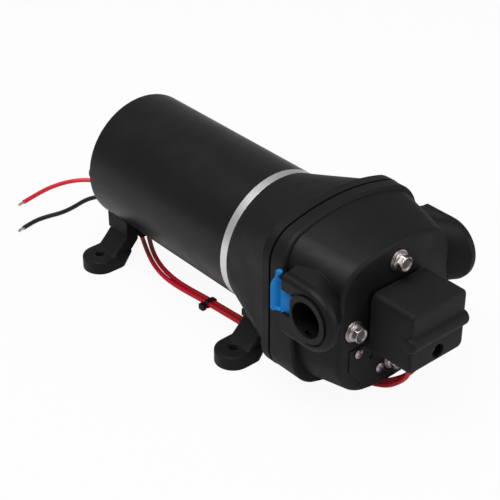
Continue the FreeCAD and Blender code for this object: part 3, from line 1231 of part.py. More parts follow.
# The rocker's lower end swings as far as the levers on both sides of its pin make of the plunger's travel
swing = "(plunger_travel * (pivot_height + screw_drop) / (pivot_height - plunger_height))"
seat_floor = f"({spring_x} + switch_spring_length + {swing} + 2 * running_gap)"
seat_inner = "(switch_spring_radius + switch_spring_wire / 2 + 0.6)"
node("spring_seat", turned("spring_seat_cup", [
    (f"{seat_floor} - 2.8", seat_inner),
    (seat_floor, seat_inner),
    (seat_floor, 0),
    (f"{seat_floor} + 1", 0),
    (f"{seat_floor} + 1", f"{seat_inner} + 0.6"),
    (f"{seat_floor} - 2.8", f"{seat_inner} + 0.6"),
], ("0", "0", adjuster_z)))
inside_front = f"({head_front} + switch_length - boot_wall)"
wall_front = f"({inside_front} - frame_set_back)"
screw_end = f"({wall_front} + screw_stand_out)"
adjuster_rod = rod("adjuster_rod", "adjuster_radius", f"{screw_end} - {seat_floor} - 1.05",
                   (f"{seat_floor} + 1.05", "0", adjuster_z))
adjuster_slot = block("adjuster_slot", (f"{screw_end} - 1", "-2 * adjuster_radius",
                                        over_axis("-screw_drop - 0.3")),
                      (3, "4 * adjuster_radius", 0.6))
node("adjusting_screw", less("adjuster_cut", adjuster_rod, adjuster_slot))

# Contact block with the two terminal blades, hung between the walls of the switch frame
terminal_y = value("terminal_reach")
blade_half = value("terminal_half_width")
blade_t = value("terminal_thickness")
block_x = wall_x - 4.4
blade_x = wall_x - 3.15
block_half = terminal_y + 2
contact_block = brick((block_x, -block_half, -4), (wall_x, block_half, 7))
nib = brick((x_rocker + rocker_t + 2.6, -1.4, -1.4), (block_x + 0.1, 1.4, 1.4))
ears = both_sides(block_x, wall_x - 1, block_half, frame_half - 0.05, -3, 3)
blade_slots = both_sides(blade_x - 0.05, blade_x + blade_t + 0.05, terminal_y - blade_half - gap,
                         terminal_y + blade_half + gap, -5, 8)
contact_block = contact_block.fuse([nib] + ears).cut(blade_slots)
node("contact_block", frozen("contact_block_moulding", contact_block.removeSplitter()))
terminal_low = -value("terminal_drop")
blades = both_sides(blade_x, blade_x + blade_t, terminal_y - blade_half, terminal_y + blade_half,
                    terminal_low, 8.6)
node("switch_terminals", frozen("terminal_blades", Part.makeCompound(blades)))

# Boot: a rubber cover over the switch, open behind and below, with a half round band and an access hole.
# A lip closes it below that hole.
boot = brick((x_boot, -boot_half, -boot_bottom), (x_boot_front, boot_half, boot_top))
boot = softened(boot, value("boot_corner"), lambda edge: edge.BoundBox.XLength > 1)
boot = softened(boot, value("boot_fillet"), lambda edge: edge.BoundBox.XMin > x_boot_front - 0.01)
band_x = x_boot_front - value("band_inset")
band_r = value("band_radius")
band_end = boot_half + value("band_overhang")
band = bar(band_r, 2 * band_end, band_x, -band_end, value("band_height"), (0, 1, 0))
band = softened(band, 2.4, lambda edge: edge.BoundBox.YLength < 0.01)
boot_wall = value("boot_wall")
hollow = brick((x_boot - 1, -boot_half + boot_wall, -boot_bottom + boot_wall),
               (x_inside, boot_half - boot_wall, boot_top - boot_wall))
open_below = brick((x_boot - 1, -boot_half + boot_wall, -boot_bottom - 1),
                   (wall_x + frame_w + 0.3, boot_half - boot_wall, 0))
access_hole = bar(value("access_radius"), 12, x_inside - 1, value("access_side"), screw_z)
boot = boot.fuse(band).cut([hollow, open_below, access_hole])
node("switch_boot", frozen("boot_shell", boot.removeSplitter()))

# Cover plate with its two screws, low on the head's front: points are pairs of y and z from the axis
cover_t = 0.5
cover_points = [(-31, -11.5), (-21.5, -11.5), (-4.5, -28.5), (-4.5, -36), (-22, -36), (-31, -24)]
cover_screw_places = [(-25, -15), (-9.6, -31)]
cover_pin_hole = (-16, -21)
cover_corners = [FreeCAD.Vector(x_front, y, axis_z + z) for y, z in cover_points + cover_points[:1]]
cover = Part.Face(Part.makePolygon(cover_corners)).extrude(FreeCAD.Vector(cover_t, 0, 0))
washer_room = value("washer_radius") + 0.6
cover = cover.cut(screw_bars(washer_room, x_front - 1, 3) + [bar(1.3, 3, x_front - 1, y, z)
                                                             for y, z in cover_screw_places])
cover = cover.cut(bar(1.4, 3, x_front - 1, *cover_pin_hole))
node("cover_plate", frozen("cover_plate_sheet", cover))
pan_r = 3.2
cover_screws = []
for y, z in cover_screw_places:
    pan = Part.makeSphere(pan_r, FreeCAD.Vector(x_front - 1, y, axis_z + z)).common(bar(pan_r, 1.4,
                                                                                        x_front + cover_t, y,
                                                                                        z))
    cross = [brick((x_front + 1.5, y - 1.4, z - 0.3), (x_front + 3, y + 1.4, z + 0.3)),
             brick((x_front + 1.5, y - 0.3, z - 1.4), (x_front + 3, y + 0.3, z + 1.4))]
    cover_screws.append(pan.fuse(bar(1.28, cover_t + 0.1, x_front, y, z)).cut(cross).removeSplitter())
node("cover_screws", frozen("cover_screw_pair", Part.makeCompound(cover_screws)))

# Rear saddle under the can, and its two screws
saddle_x = -foot_x
saddle_low = seat_z - value("saddle_depth")
saddle_top = -24
middle_half = lug_y - 2.5
wings = brick((saddle_x - seat_run, -seat_half, seat_z), (saddle_x + seat_run, seat_half, saddle_top))
middle_block = brick((saddle_x - seat_run, -middle_half, saddle_low),
                     (saddle_x + seat_run, middle_half, seat_z + 1))
saddle = wings.fuse(middle_block).cut(bar(value("can_radius") + 0.05, 4 * seat_run, saddle_x - 2 * seat_run,
                                          0, 0))
screw_x = value(saddle_screw_x)
screw_y = value(saddle_screw_y)
screw_hole_r = value("saddle_screw_radius + fit_gap")
for side in (-1, 1):
    near, far = sorted((side * (lug_y - gap), side * (lug_y + lug_w + gap)))
    dovetail = brick((saddle_x - seat_run - 1, near, seat_z - 1),
                     (saddle_x + seat_run + 1, far, seat_z + lug_h + gap))
    saddle = saddle.cut([dovetail, bar(screw_hole_r, 40, screw_x, side * screw_y, saddle_low - 1, (0, 0, 1))])
node("rear_saddle", frozen("saddle_moulding", saddle.removeSplitter()))
saddle_screws = []
for side, sign in (("left", "-"), ("right", "")):
    place = (saddle_screw_x, f"{sign}{saddle_screw_y}", "seat_height - saddle_depth")
    shank = rod(f"saddle_shank_{side}", "saddle_screw_radius",
                "axis_height - seat_height - can_radius + saddle_depth + 8",
                place, "+Z")
    pan = taper(f"saddle_pan_{side}", "saddle_screw_radius * 1.8", "saddle_screw_radius * 1.5", "2", place,
                "-Z")
    slot = block(f"saddle_slot_{side}", (f"{saddle_screw_x} - 4", f"{sign}{saddle_screw_y} - 0.4",
                                         "seat_height - saddle_depth - 3"),
                 (8, 0.8, 2.2))
    saddle_screws.append(less(f"saddle_screw_{side}", joined(f"saddle_screw_solid_{side}", shank, pan), slot))
node("saddle_screws", group("saddle_screw_pair", saddle_screws))

# Feet: rubber pads, each with a sloping leg that ends in a dovetail lug in the block above it
pad_r = value("foot_radius")
pad_t = value("foot_thickness")
hole_y = value("foot_spacing_y") / 2
leg_t = value("leg_thickness")
seat_abs = value("seat_height")
for end, x_sign in (("front", 1), ("rear", -1)):
    for side, y_sign in (("left", -1), ("right", 1)):
        x_hole, y_hole = x_sign * foot_x, y_sign * hole_y

        def across(y_from_middle, height):
            return FreeCAD.Vector(x_hole - pad_r, y_sign * y_from_middle, height)

        pad = Part.makeCylinder(pad_r, pad_t, FreeCAD.Vector(x_hole, y_hole, 0))
        near, far = sorted((y_sign * (seat_half - 4), y_hole))
        pad = pad.fuse(Part.makeBox(2 * pad_r, far - near, pad_t, FreeCAD.Vector(x_hole - pad_r, near, 0)))
        rise = seat_abs - pad_t
        leg_points = [
            across(seat_half + rise + 0.8, pad_t - 0.6),
            across(seat_half, seat_abs),
            across(lug_y - 1.4, seat_abs),
            across(lug_y - 1.4, seat_abs - leg_t * 0.7),
            across(seat_half + 3, 0.8),
            across(seat_half + 6, 0),
            across(seat_half + rise + 0.8, 0),
        ]
        leg = Part.Face(Part.makePolygon(leg_points + leg_points[:1])).extrude(FreeCAD.Vector(2 * pad_r, 0,
                                                                                              0))
        trim = Part.makeBox(2 * seat_run - 0.6, 2 * hole_y, seat_abs + 2,
                            FreeCAD.Vector(x_hole - seat_run + 0.3, y_hole - hole_y, -1))
        near, far = sorted((y_sign * lug_y, y_sign * (lug_y + lug_w)))
        lug = Part.makeBox(2 * seat_run - 0.6, far - near, lug_h,
                           FreeCAD.Vector(x_hole - seat_run + 0.3, near, seat_abs))
        foot = pad.fuse([leg.common(trim), lug]).removeSplitter()
        foot = foot.cut(Part.makeCylinder(value("foot_hole_radius"), pad_t + 2,
                                          FreeCAD.Vector(x_hole, y_hole, -1)))
        node(f"foot_{end}_{side}", frozen(f"foot_{end}_{side}_rubber", foot))

# Leads: the red ones run under the pump from the switch to the rear, the black one leaves the rear cap


def tube_along(name, points, radius):
    """A tube along straight runs joined by tangent arcs, each as large as its two runs allow."""
    vectors = [FreeCAD.Vector(*point) for point in points]
    edges = []
    radii = []
    last = vectors[0]
    for before, corner_point, after in zip(vectors, vectors[1:], vectors[2:]):
        back = before - corner_point
        ahead = after - corner_point
        turn = math.pi - back.getAngle(ahead)
        trim = 0.45 * min(back.Length, ahead.Length)
        radii.append(trim / math.tan(turn / 2))
        back.normalize()
        ahead.normalize()
        start = corner_point + back * trim
        end = corner_point + ahead * trim
        bisector = (back + ahead).normalize()
        centre = corner_point + bisector * math.hypot(trim, radii[-1])
        middle = centre - bisector * radii[-1]
        edges.append(Part.LineSegment(last, start).toShape())
        edges.append(Part.Arc(start, middle, end).toShape())
        last = end
    edges.append(Part.LineSegment(last, vectors[-1]).toShape())
    path = Part.Wire(edges)
    direction = vectors[1] - vectors[0]
    section = Part.Wire(Part.makeCircle(radius, vectors[0], direction))
    tube = path.makePipeShell([section], True, False)
    share = tube.Volume / (math.pi * radius ** 2 * path.Length)
    print(f"{name}: length {path.Length:.1f}, least radius {min(radii):.1f}, volume share {share:.4f}")
    return tube


lead_r = value("lead_radius")
floor = lead_r
x_grommet = value(f"{can_rear} - cap_lip - 1.6")
motor_y = value("grommet_side - lead_pitch / 2")
black_y = value("grommet_side + lead_pitch / 2")
grommet_abs = value("axis_height - grommet_drop")
x_terminal = blade_x + blade_t / 2
terminal_end = axis_z + terminal_low
tie_lift = value("tie_thickness") + 0.15
SUPPLY_ROUTE = [
    (x_terminal, -7, terminal_end), (x_terminal, -7, 34), (150.8, -4, 24.5), (146.2, -1.6, 18),
    (141.5, -0.6, 12.5), (133.5, 0.2, 5.2), (123, -1, floor + 0.1), (108, -3.6, floor), (90, -7.6, floor),
    (70, -12.8, floor), (52, -16.2, floor), (36, -18, floor + 0.6), (22, -19.4, floor + tie_lift),
    (9, -20.4, floor + tie_lift), (-7, -21.4, floor + 0.3), (-22, -21.6, floor), (-37, -18.6, floor),
    (-52, -12.4, floor), (-68, -4.4, floor), (-87, 5, floor), (-106, 12.4, floor), (-124, 16.4, floor),
    (-137, 16, floor), (-146.5, 9.6, floor), (-151.6, 0, floor), (-153.2, -12, floor), (-151.6, -24, floor),
    (-148.6, -36.1, floor),
]
MOTOR_ROUTE = [
    (x_terminal, 7, terminal_end), (x_terminal, 7, 34), (149, 5.4, 25), (144.6, 4.2, 17.6),
    (139, 3.4, 11.8), (130, 2.8, 4.8), (119, 1.8, floor + 0.1), (105, -0.9, floor), (88, -4.6, floor),
    (69, -9.4, floor), (51, -12.8, floor), (35, -14.8, floor + 0.6), (21, -16.3, floor + tie_lift),
    (9, -17.3, floor + tie_lift), (-7, -18.2, floor + 0.3), (-21, -18.1, floor), (-35, -15.6, floor),
    (-48.5, -10.6, floor), (-61, -3.8, floor), (-72, 2.6, floor + 0.8), (-81.5, 4.8, 5.4),
    (-89, motor_y + 0.4, 12.6), (-92.4, motor_y - 0.2, 21.4), (-87.6, motor_y, 29.4),
    (x_grommet - 5, motor_y, grommet_abs), (x_grommet, motor_y, grommet_abs),
]
BLACK_ROUTE = [
    (x_grommet, black_y, grommet_abs), (x_grommet - 7, black_y, grommet_abs),
    (x_grommet - 15, black_y + 0.6, 27.4), (-94.5, 10.8, 19.6), (-101.5, 11.6, 11.2), (-110, 11, 4.6),
    (-118.5, 8.2, floor + 0.2), (-124.4, 2.2, floor), (-125.4, -6, floor), (-123.2, -15, floor),
    (-122.2, -25, floor), (-124.6, -35, floor), (-125.2, -44, floor), (-122.8, -53, floor),
]
node("red_supply_lead", frozen("red_supply_tube", tube_along("red supply lead", SUPPLY_ROUTE, lead_r)))
node("red_motor_lead", frozen("red_motor_tube", tube_along("red motor lead", MOTOR_ROUTE, lead_r)))
node("black_supply_lead", frozen("black_supply_tube", tube_along("black supply lead", BLACK_ROUTE, lead_r)))


def strands_beyond(route, length):
    """The tinned end of a lead: a bare cylinder in line with its last run."""
    end = FreeCAD.Vector(*route[-1])
    way = (end - FreeCAD.Vector(*route[-2])).normalize()
    return Part.makeCylinder(value("strand_radius"), length, end, way)


node("lead_strands", frozen("tinned_strands", Part.makeCompound([strands_beyond(SUPPLY_ROUTE, 4.5),
                                                                 strands_beyond(BLACK_ROUTE, 4.5)])))

# Cable tie round the two red leads
tie_t = value("tie_thickness")
tie_w = value("tie_width")
tie_x, tie_y = 14, -18.5
tie_half = 1.7
loop_r = lead_r + 0.15
tie_z = floor + tie_lift


def stadium(radius, width, x):
    """A solid round two leads that lie side by side."""
    middle = Part.makeBox(width, 2 * tie_half, 2 * radius,
                          FreeCAD.Vector(x, tie_y - tie_half, tie_z - radius))
    ends = [Part.makeCylinder(radius, width, FreeCAD.Vector(x, tie_y + side * tie_half, tie_z),
                              FreeCAD.Vector(1, 0, 0))
            for side in (-1, 1)]
    return middle.fuse(ends)


strap = stadium(loop_r + tie_t, tie_w, tie_x - tie_w / 2)
tie_head = Part.makeBox(4.4, 3.6, 4.2, FreeCAD.Vector(tie_x - 2.2, tie_y - tie_half - loop_r - tie_t - 3.2,
                                                      0.2))
tail = Part.makeBox(tie_w, 1.1, 3, FreeCAD.Vector(tie_x - tie_w / 2, tie_y - tie_half - loop_r - tie_t - 2,
                                                  4.3))
tie = strap.fuse([tie_head, tail]).cut(stadium(loop_r, 10, tie_x - 5)).removeSplitter()
node("cable_tie", frozen("cable_tie_strap", tie))

# Every object has to be sound before anything is written
doc.recompute()
faults = [f"{thing.Name}: {thing.State}" for thing in doc.Objects if {"Invalid", "Error"} & set(thing.State)]
for name, thing in nodes.items():
    if thing.Shape.isNull() or not thing.Shape.isValid() or not thing.Shape.Solids:
        faults.append(f"{name}: no sound solid")
if faults:
    raise ValueError("; ".join(faults))
for name, thing in nodes.items():
    thing.Shape.exportStep(f"parts/{name}.step")
print(f"{len(nodes)} sub-parts, {sum(len(thing.Shape.Solids) for thing in nodes.values())} solids")
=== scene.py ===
import math

import bpy
import numpy as np
from mathutils import Matrix, Vector


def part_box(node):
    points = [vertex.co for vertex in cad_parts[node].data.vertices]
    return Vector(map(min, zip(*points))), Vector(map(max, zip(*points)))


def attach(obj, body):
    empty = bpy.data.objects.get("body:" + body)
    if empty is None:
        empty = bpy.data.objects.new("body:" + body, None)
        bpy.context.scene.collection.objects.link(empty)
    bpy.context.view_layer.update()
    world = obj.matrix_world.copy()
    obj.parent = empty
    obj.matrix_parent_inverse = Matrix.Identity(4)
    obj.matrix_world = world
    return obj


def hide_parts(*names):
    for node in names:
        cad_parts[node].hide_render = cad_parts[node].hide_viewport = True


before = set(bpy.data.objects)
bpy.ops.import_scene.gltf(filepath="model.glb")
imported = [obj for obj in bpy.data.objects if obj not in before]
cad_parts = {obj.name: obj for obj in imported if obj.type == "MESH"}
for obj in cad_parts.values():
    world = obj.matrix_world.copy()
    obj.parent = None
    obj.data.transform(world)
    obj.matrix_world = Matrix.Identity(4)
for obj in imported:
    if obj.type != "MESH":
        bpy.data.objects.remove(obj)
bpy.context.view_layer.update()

# Motor can.
# A drawn steel tube, 76 mm across and 116 mm long, blasted and powder coated satin black inside and out.
# Both rims are turned square with the paint run round them.
CAN_RADIUS = 0.038


def linear(code):
    """An sRGB hex colour as linear RGBA.

    A channel c becomes c / 12.92 up to 0.04045, and ((c + 0.055) / 1.055) to the power of 2.4 above it.
    """
    channels = [int(code[i:i + 2], 16) / 255 for i in (1, 3, 5)]
    return [c / 12.92 if c <= 0.04045 else ((c + 0.055) / 1.055) ** 2.4 for c in channels] + [1.0]


def add(tree, kind, inputs=None, ramp=(), **settings):
    """Adds one node.

    settings are its own properties, and inputs its sockets, each a value or another node's output.
    ramp holds the sRGB colours at the two ends of a colour ramp.
    """
    node = tree.nodes.new("ShaderNode" + kind)
    for name, setting in settings.items():
        setattr(node, name, setting)
    if ramp:
        for element, code in zip(node.color_ramp.elements, ramp):
            element.color = linear(code)
    for name, given in (inputs or {}).items():
        if isinstance(given, bpy.types.NodeSocket):
            tree.links.new(given, node.inputs[name])
        else:
            node.inputs[name].default_value = given
    return node


def finish_named(name):
    """A new material, its emptied node tree and its object coordinates."""
    material = bpy.data.materials.new(name)
    material.use_nodes = True
    tree = material.node_tree
    tree.nodes.clear()
    return material, tree, add(tree, "TexCoord").outputs["Object"]


def spaced_mm(distance):
    """The scale of a pattern, in turns per metre, whose features lie this many millimetres apart."""
    return 1000 / distance


def coat(node_name, material):
    """Gives a carried-over CAD piece its material, in every slot it has."""
    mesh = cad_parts[node_name].data
    if not mesh.materials:
        mesh.materials.append(material)
    for index in range(len(mesh.materials)):
        mesh.materials[index] = material


# Powder coat: cured polyester, satin, with the low orange peel that baked powder keeps. Peel is 1.6 mm from
# crest to crest; the finer grain of the powder, 0.1 mm on the real tube, is drawn at 0.6 mm so that it shows.
powder_coat, tree, place = finish_named("satin_black_powder_coat")
peel = add(tree, "TexNoise", {"Vector": place, "Scale": spaced_mm(1.6), "Detail": 2.0})
grain = add(tree, "TexNoise", {"Vector": place, "Scale": spaced_mm(0.6), "Detail": 1.0})
sheen_map = add(tree, "TexNoise", {"Vector": place, "Scale": spaced_mm(18), "Detail": 3.0})
roughness = add(tree, "MapRange", {"Value": sheen_map.outputs["Fac"], "From Min": 0.3, "From Max": 0.7,
                                   "To Min": 0.32, "To Max": 0.41})
low = add(tree, "Bump", {"Height": peel.outputs["Fac"], "Strength": 0.06, "Distance": 0.0004})
relief = add(tree, "Bump", {"Height": grain.outputs["Fac"], "Strength": 0.08, "Distance": 0.0002,
                            "Normal": low.outputs["Normal"]})
tone = add(tree, "ValToRGB", {"Fac": sheen_map.outputs["Fac"]}, ramp=("#0b0b0c", "#0f0f10"))
shader = add(tree, "BsdfPrincipled", {
    "Base Color": tone.outputs["Color"], "Roughness": roughness.outputs["Result"],
    "Normal": relief.outputs["Normal"], "IOR": 1.5, "Specular IOR Level": 0.3,
})
add(tree, "OutputMaterial", {"Surface": shader.outputs["BSDF"]})
coat("motor_can", powder_coat)

# Rear end cap, drive housing, pump head, saddle, cover plate, brush card, switch frame and contact block.
# Glass filled black plastic, injection moulded in spark eroded tools, so each face has a fine even grain and
# its edges a small radius. Handling has polished the outermost edges a little.
moulded_black, tree, place = finish_named("glass_filled_black_moulding")
grain = add(tree, "TexNoise", {"Vector": place, "Scale": spaced_mm(0.9), "Detail": 2.0, "Roughness": 0.6})
flow = add(tree, "TexNoise", {"Vector": place, "Scale": spaced_mm(14), "Detail": 3.0, "Distortion": 0.6})
rounded = add(tree, "Bevel", {"Radius": 0.0005}, samples=4)
relief = add(tree, "Bump", {"Height": grain.outputs["Fac"], "Strength": 0.16, "Distance": 0.0003,
                            "Normal": rounded.outputs["Normal"]})
roughness = add(tree, "MapRange", {"Value": flow.outputs["Fac"], "From Min": 0.3, "From Max": 0.7,
                                   "To Min": 0.46, "To Max": 0.58})
tone = add(tree, "ValToRGB", {"Fac": flow.outputs["Fac"]}, ramp=("#0c0c0d", "#101011"))
shader = add(tree, "BsdfPrincipled", {
    "Base Color": tone.outputs["Color"], "Roughness": roughness.outputs["Result"],
    "Normal": relief.outputs["Normal"], "IOR": 1.52, "Specular IOR Level": 0.2,
})
add(tree, "OutputMaterial", {"Surface": shader.outputs["BSDF"]})
for name in ("rear_end_cap", "drive_housing", "pump_head", "rear_saddle", "cover_plate", "brush_card",
             "switch_base", "contact_block"):
    coat(name, moulded_black)

# Front end bell.
# Die cast aluminium, turned where it shows as the bright ring between can and housing, with the fine lay of
# the tool running round it.
turned_aluminium, tree, place = finish_named("turned_aluminium")
apart = add(tree, "SeparateXYZ", {"Vector": place})
lay = add(tree, "TexNoise", {"W": apart.outputs["X"], "Scale": spaced_mm(0.5), "Detail": 2.0},
          noise_dimensions="1D")
stain = add(tree, "TexNoise", {"Vector": place, "Scale": spaced_mm(9), "Detail": 3.0})
rounded = add(tree, "Bevel", {"Radius": 0.0004}, samples=4)
relief = add(tree, "Bump", {"Height": lay.outputs["Fac"], "Strength": 0.12, "Distance": 0.0003,
                            "Normal": rounded.outputs["Normal"]})
roughness = add(tree, "MapRange", {"Value": stain.outputs["Fac"], "To Min": 0.3, "To Max": 0.44})
shader = add(tree, "BsdfPrincipled", {
    "Base Color": linear("#efefee"), "Metallic": 1.0, "Roughness": roughness.outputs["Result"],
    "Normal": relief.outputs["Normal"],
})
add(tree, "OutputMaterial", {"Surface": shader.outputs["BSDF"]})
for name in ("front_end_bell", "eccentric_hub"):
    coat(name, turned_aluminium)

# Bearings, shaft, bolts, pins and springs.
# Ground and polished steel, some of it zinc plated, that runs in grease inside the pump.
ground_steel, tree, place = finish_named("ground_steel")
lay = add(tree, "TexNoise", {"Vector": place, "Scale": spaced_mm(0.7), "Detail": 3.0})
rounded = add(tree, "Bevel", {"Radius": 0.0003}, samples=4)
relief = add(tree, "Bump", {"Height": lay.outputs["Fac"], "Strength": 0.05, "Distance": 0.0002,
                            "Normal": rounded.outputs["Normal"]})
roughness = add(tree, "MapRange", {"Value": lay.outputs["Fac"], "To Min": 0.22, "To Max": 0.36})
shader = add(tree, "BsdfPrincipled", {
    "Base Color": linear("#b9b8b6"), "Metallic": 1.0, "Roughness": roughness.outputs["Result"],
    "Normal": relief.outputs["Normal"],
})
add(tree, "OutputMaterial", {"Surface": shader.outputs["BSDF"]})
for name in ("motor_through_bolts", "motor_shaft", "shaft_bearing_outer_rings", "shaft_bearing_inner_rings",
             "cam_bearing_inner", "cam_bearing_outer", "bell_screws", "brush_spring_upper",
             "brush_spring_lower", "saddle_screws", "rocker_pin", "switch_spring"):
    coat(name, ground_steel)

# Field magnets.
# Sintered ferrite, ground on the inside, dark grey and slightly sparkling where the grains break.
ferrite, tree, place = finish_named("sintered_ferrite")
grains = add(tree, "TexVoronoi", {"Vector": place, "Scale": spaced_mm(0.8)})
relief = add(tree, "Bump", {"Height": grains.outputs["Distance"], "Strength": 0.2, "Distance": 0.0002})
tone = add(tree, "ValToRGB", {"Fac": grains.outputs["Distance"]}, ramp=("#3a3a3c", "#2c2c2e"))
shader = add(tree, "BsdfPrincipled", {
    "Base Color": tone.outputs["Color"], "Roughness": 0.55, "Normal": relief.outputs["Normal"],
    "Specular IOR Level": 0.7,
})
add(tree, "OutputMaterial", {"Surface": shader.outputs["BSDF"]})
coat("field_magnets", ferrite)

# Armature core and windings, commutator and brushes.
# The core is a stack of 0.5 mm electrical steel sheets, pressed on the shaft. Enamelled copper wire, 0.6 mm
# thick, lies over its ends, and the commutator is drawn copper in a black moulding.
laminations, tree, place = finish_named("electrical_steel_sheets")
apart = add(tree, "SeparateXYZ", {"Vector": place})
sheets = add(tree, "Math", {0: apart.outputs["X"], 1: math.tau * spaced_mm(0.9)}, operation="MULTIPLY")
wave = add(tree, "Math", {0: sheets.outputs["Value"]}, operation="SINE")
relief = add(tree, "Bump", {"Height": wave.outputs["Value"], "Strength": 0.3, "Distance": 0.0002})
shader = add(tree, "BsdfPrincipled", {
    "Base Color": linear("#7c7d80"), "Metallic": 1.0, "Roughness": 0.42, "Normal": relief.outputs["Normal"],
})
add(tree, "OutputMaterial", {"Surface": shader.outputs["BSDF"]})
coat("armature_core", laminations)

winding_copper, tree, place = finish_named("enamelled_copper_wire")
wires = add(tree, "TexWave", {"Vector": place, "Scale": spaced_mm(6), "Distortion": 3.0, "Detail": 2.0},
            bands_direction="Y")
relief = add(tree, "Bump", {"Height": wires.outputs["Fac"], "Strength": 0.5, "Distance": 0.0004})
tone = add(tree, "ValToRGB", {"Fac": wires.outputs["Fac"]}, ramp=("#7a3414", "#c8743a"))
shader = add(tree, "BsdfPrincipled", {
    "Base Color": tone.outputs["Color"], "Metallic": 0.9, "Roughness": 0.3,
    "Normal": relief.outputs["Normal"],
})
add(tree, "OutputMaterial", {"Surface": shader.outputs["BSDF"]})
coat("armature_windings", winding_copper)

drawn_copper, tree, place = finish_named("drawn_copper_segments")
tarnish = add(tree, "TexNoise", {"Vector": place, "Scale": spaced_mm(4), "Detail": 3.0})
tone = add(tree, "ValToRGB", {"Fac": tarnish.outputs["Fac"]}, ramp=("#9a5a3a", "#d08a62"))
shader = add(tree, "BsdfPrincipled", {
    "Base Color": tone.outputs["Color"], "Metallic": 1.0, "Roughness": 0.26,
})
add(tree, "OutputMaterial", {"Surface": shader.outputs["BSDF"]})
coat("commutator", drawn_copper)

pressed_carbon, tree, place = finish_named("pressed_carbon")
grains = add(tree, "TexNoise", {"Vector": place, "Scale": spaced_mm(0.7), "Detail": 3.0})
relief = add(tree, "Bump", {"Height": grains.outputs["Fac"], "Strength": 0.3, "Distance": 0.0002})
tone = add(tree, "ValToRGB", {"Fac": grains.outputs["Fac"]}, ramp=("#242426", "#38383b"))
shader = add(tree, "BsdfPrincipled", {
    "Base Color": tone.outputs["Color"], "Roughness": 0.5, "Metallic": 0.2,
    "Normal": relief.outputs["Normal"],
})
add(tree, "OutputMaterial", {"Surface": shader.outputs["BSDF"]})
for name in ("brush_upper", "brush_lower"):
    coat(name, pressed_carbon)

# Brush holders, terminal blades, rocker and spring seat.
# Stamped and folded brass strip, dulled by handling.
stamped_brass, tree, place = finish_named("stamped_brass_strip")
tarnish = add(tree, "TexNoise", {"Vector": place, "Scale": spaced_mm(5), "Detail": 4.0})
tone = add(tree, "ValToRGB", {"Fac": tarnish.outputs["Fac"]}, ramp=("#a8863e", "#d8b768"))
rounded = add(tree, "Bevel", {"Radius": 0.0002}, samples=4)
shader = add(tree, "BsdfPrincipled", {
    "Base Color": tone.outputs["Color"], "Metallic": 1.0, "Roughness": 0.32,
    "Normal": rounded.outputs["Normal"],
})
add(tree, "OutputMaterial", {"Surface": shader.outputs["BSDF"]})
for name in ("brush_holders", "switch_terminals", "switch_rocker", "spring_seat"):
    coat(name, stamped_brass)

# Wobble plate, piston discs, valve plate and switch plunger.
# Unfilled nylon and acetal, ivory white, smooth from the tool and a little waxy.
natural_nylon, tree, place = finish_named("natural_nylon")
cloud = add(tree, "TexNoise", {"Vector": place, "Scale": spaced_mm(8), "Detail": 3.0})
tone = add(tree, "ValToRGB", {"Fac": cloud.outputs["Fac"]}, ramp=("#dcd8cc", "#e8e5db"))
grain = add(tree, "TexNoise", {"Vector": place, "Scale": spaced_mm(1.0), "Detail": 1.0})
rounded = add(tree, "Bevel", {"Radius": 0.0004}, samples=4)
relief = add(tree, "Bump", {"Height": grain.outputs["Fac"], "Strength": 0.05, "Distance": 0.0002,
                            "Normal": rounded.outputs["Normal"]})
shader = add(tree, "BsdfPrincipled", {
    "Base Color": tone.outputs["Color"], "Roughness": 0.38, "Subsurface Weight": 0.08,
    "Subsurface Scale": 0.002, "Normal": relief.outputs["Normal"],
})
add(tree, "OutputMaterial", {"Surface": shader.outputs["BSDF"]})
for name in ("wobble_plate", "piston_discs", "valve_plate", "switch_plunger"):
    coat(name, natural_nylon)

# Diaphragm, valves, seals, boot, grommet and feet.
# Black EPDM rubber. The feet and the boot come matt from a blasted mould, with a faint grey bloom, and the
# seals and valves smooth from a polished one.
matt_rubber, tree, place = finish_named("matt_black_rubber")
grain = add(tree, "TexNoise", {"Vector": place, "Scale": spaced_mm(0.8), "Detail": 2.0, "Roughness": 0.65})
bloom = add(tree, "TexNoise", {"Vector": place, "Scale": spaced_mm(11), "Detail": 4.0})
rounded = add(tree, "Bevel", {"Radius": 0.0013}, samples=6)
relief = add(tree, "Bump", {"Height": grain.outputs["Fac"], "Strength": 0.2, "Distance": 0.0003,
                            "Normal": rounded.outputs["Normal"]})
tone = add(tree, "ValToRGB", {"Fac": bloom.outputs["Fac"]}, ramp=("#0c0c0d", "#101011"))
roughness = add(tree, "MapRange", {"Value": bloom.outputs["Fac"], "To Min": 0.52, "To Max": 0.68})
shader = add(tree, "BsdfPrincipled", {
    "Base Color": tone.outputs["Color"], "Roughness": roughness.outputs["Result"],
    "Normal": relief.outputs["Normal"], "IOR": 1.5, "Specular IOR Level": 0.2, "Sheen Weight": 0.04,
    "Sheen Roughness": 0.5,
})
add(tree, "OutputMaterial", {"Surface": shader.outputs["BSDF"]})
for name in ("switch_boot", "lead_grommet"):
    coat(name, matt_rubber)

smooth_rubber, tree, place = finish_named("smooth_black_rubber")
cloud = add(tree, "TexNoise", {"Vector": place, "Scale": spaced_mm(6), "Detail": 2.0})
roughness = add(tree, "MapRange", {"Value": cloud.outputs["Fac"], "To Min": 0.36, "To Max": 0.5})
rounded = add(tree, "Bevel", {"Radius": 0.0003}, samples=4)
shader = add(tree, "BsdfPrincipled", {
    "Base Color": linear("#1b1b1c"), "Roughness": roughness.outputs["Result"],
    "Normal": rounded.outputs["Normal"], "IOR": 1.5,
})
add(tree, "OutputMaterial", {"Surface": shader.outputs["BSDF"]})
for name in ("diaphragm", "inlet_valves", "outlet_valve", "head_seal", "switch_diaphragm"):
    coat(name, smooth_rubber)

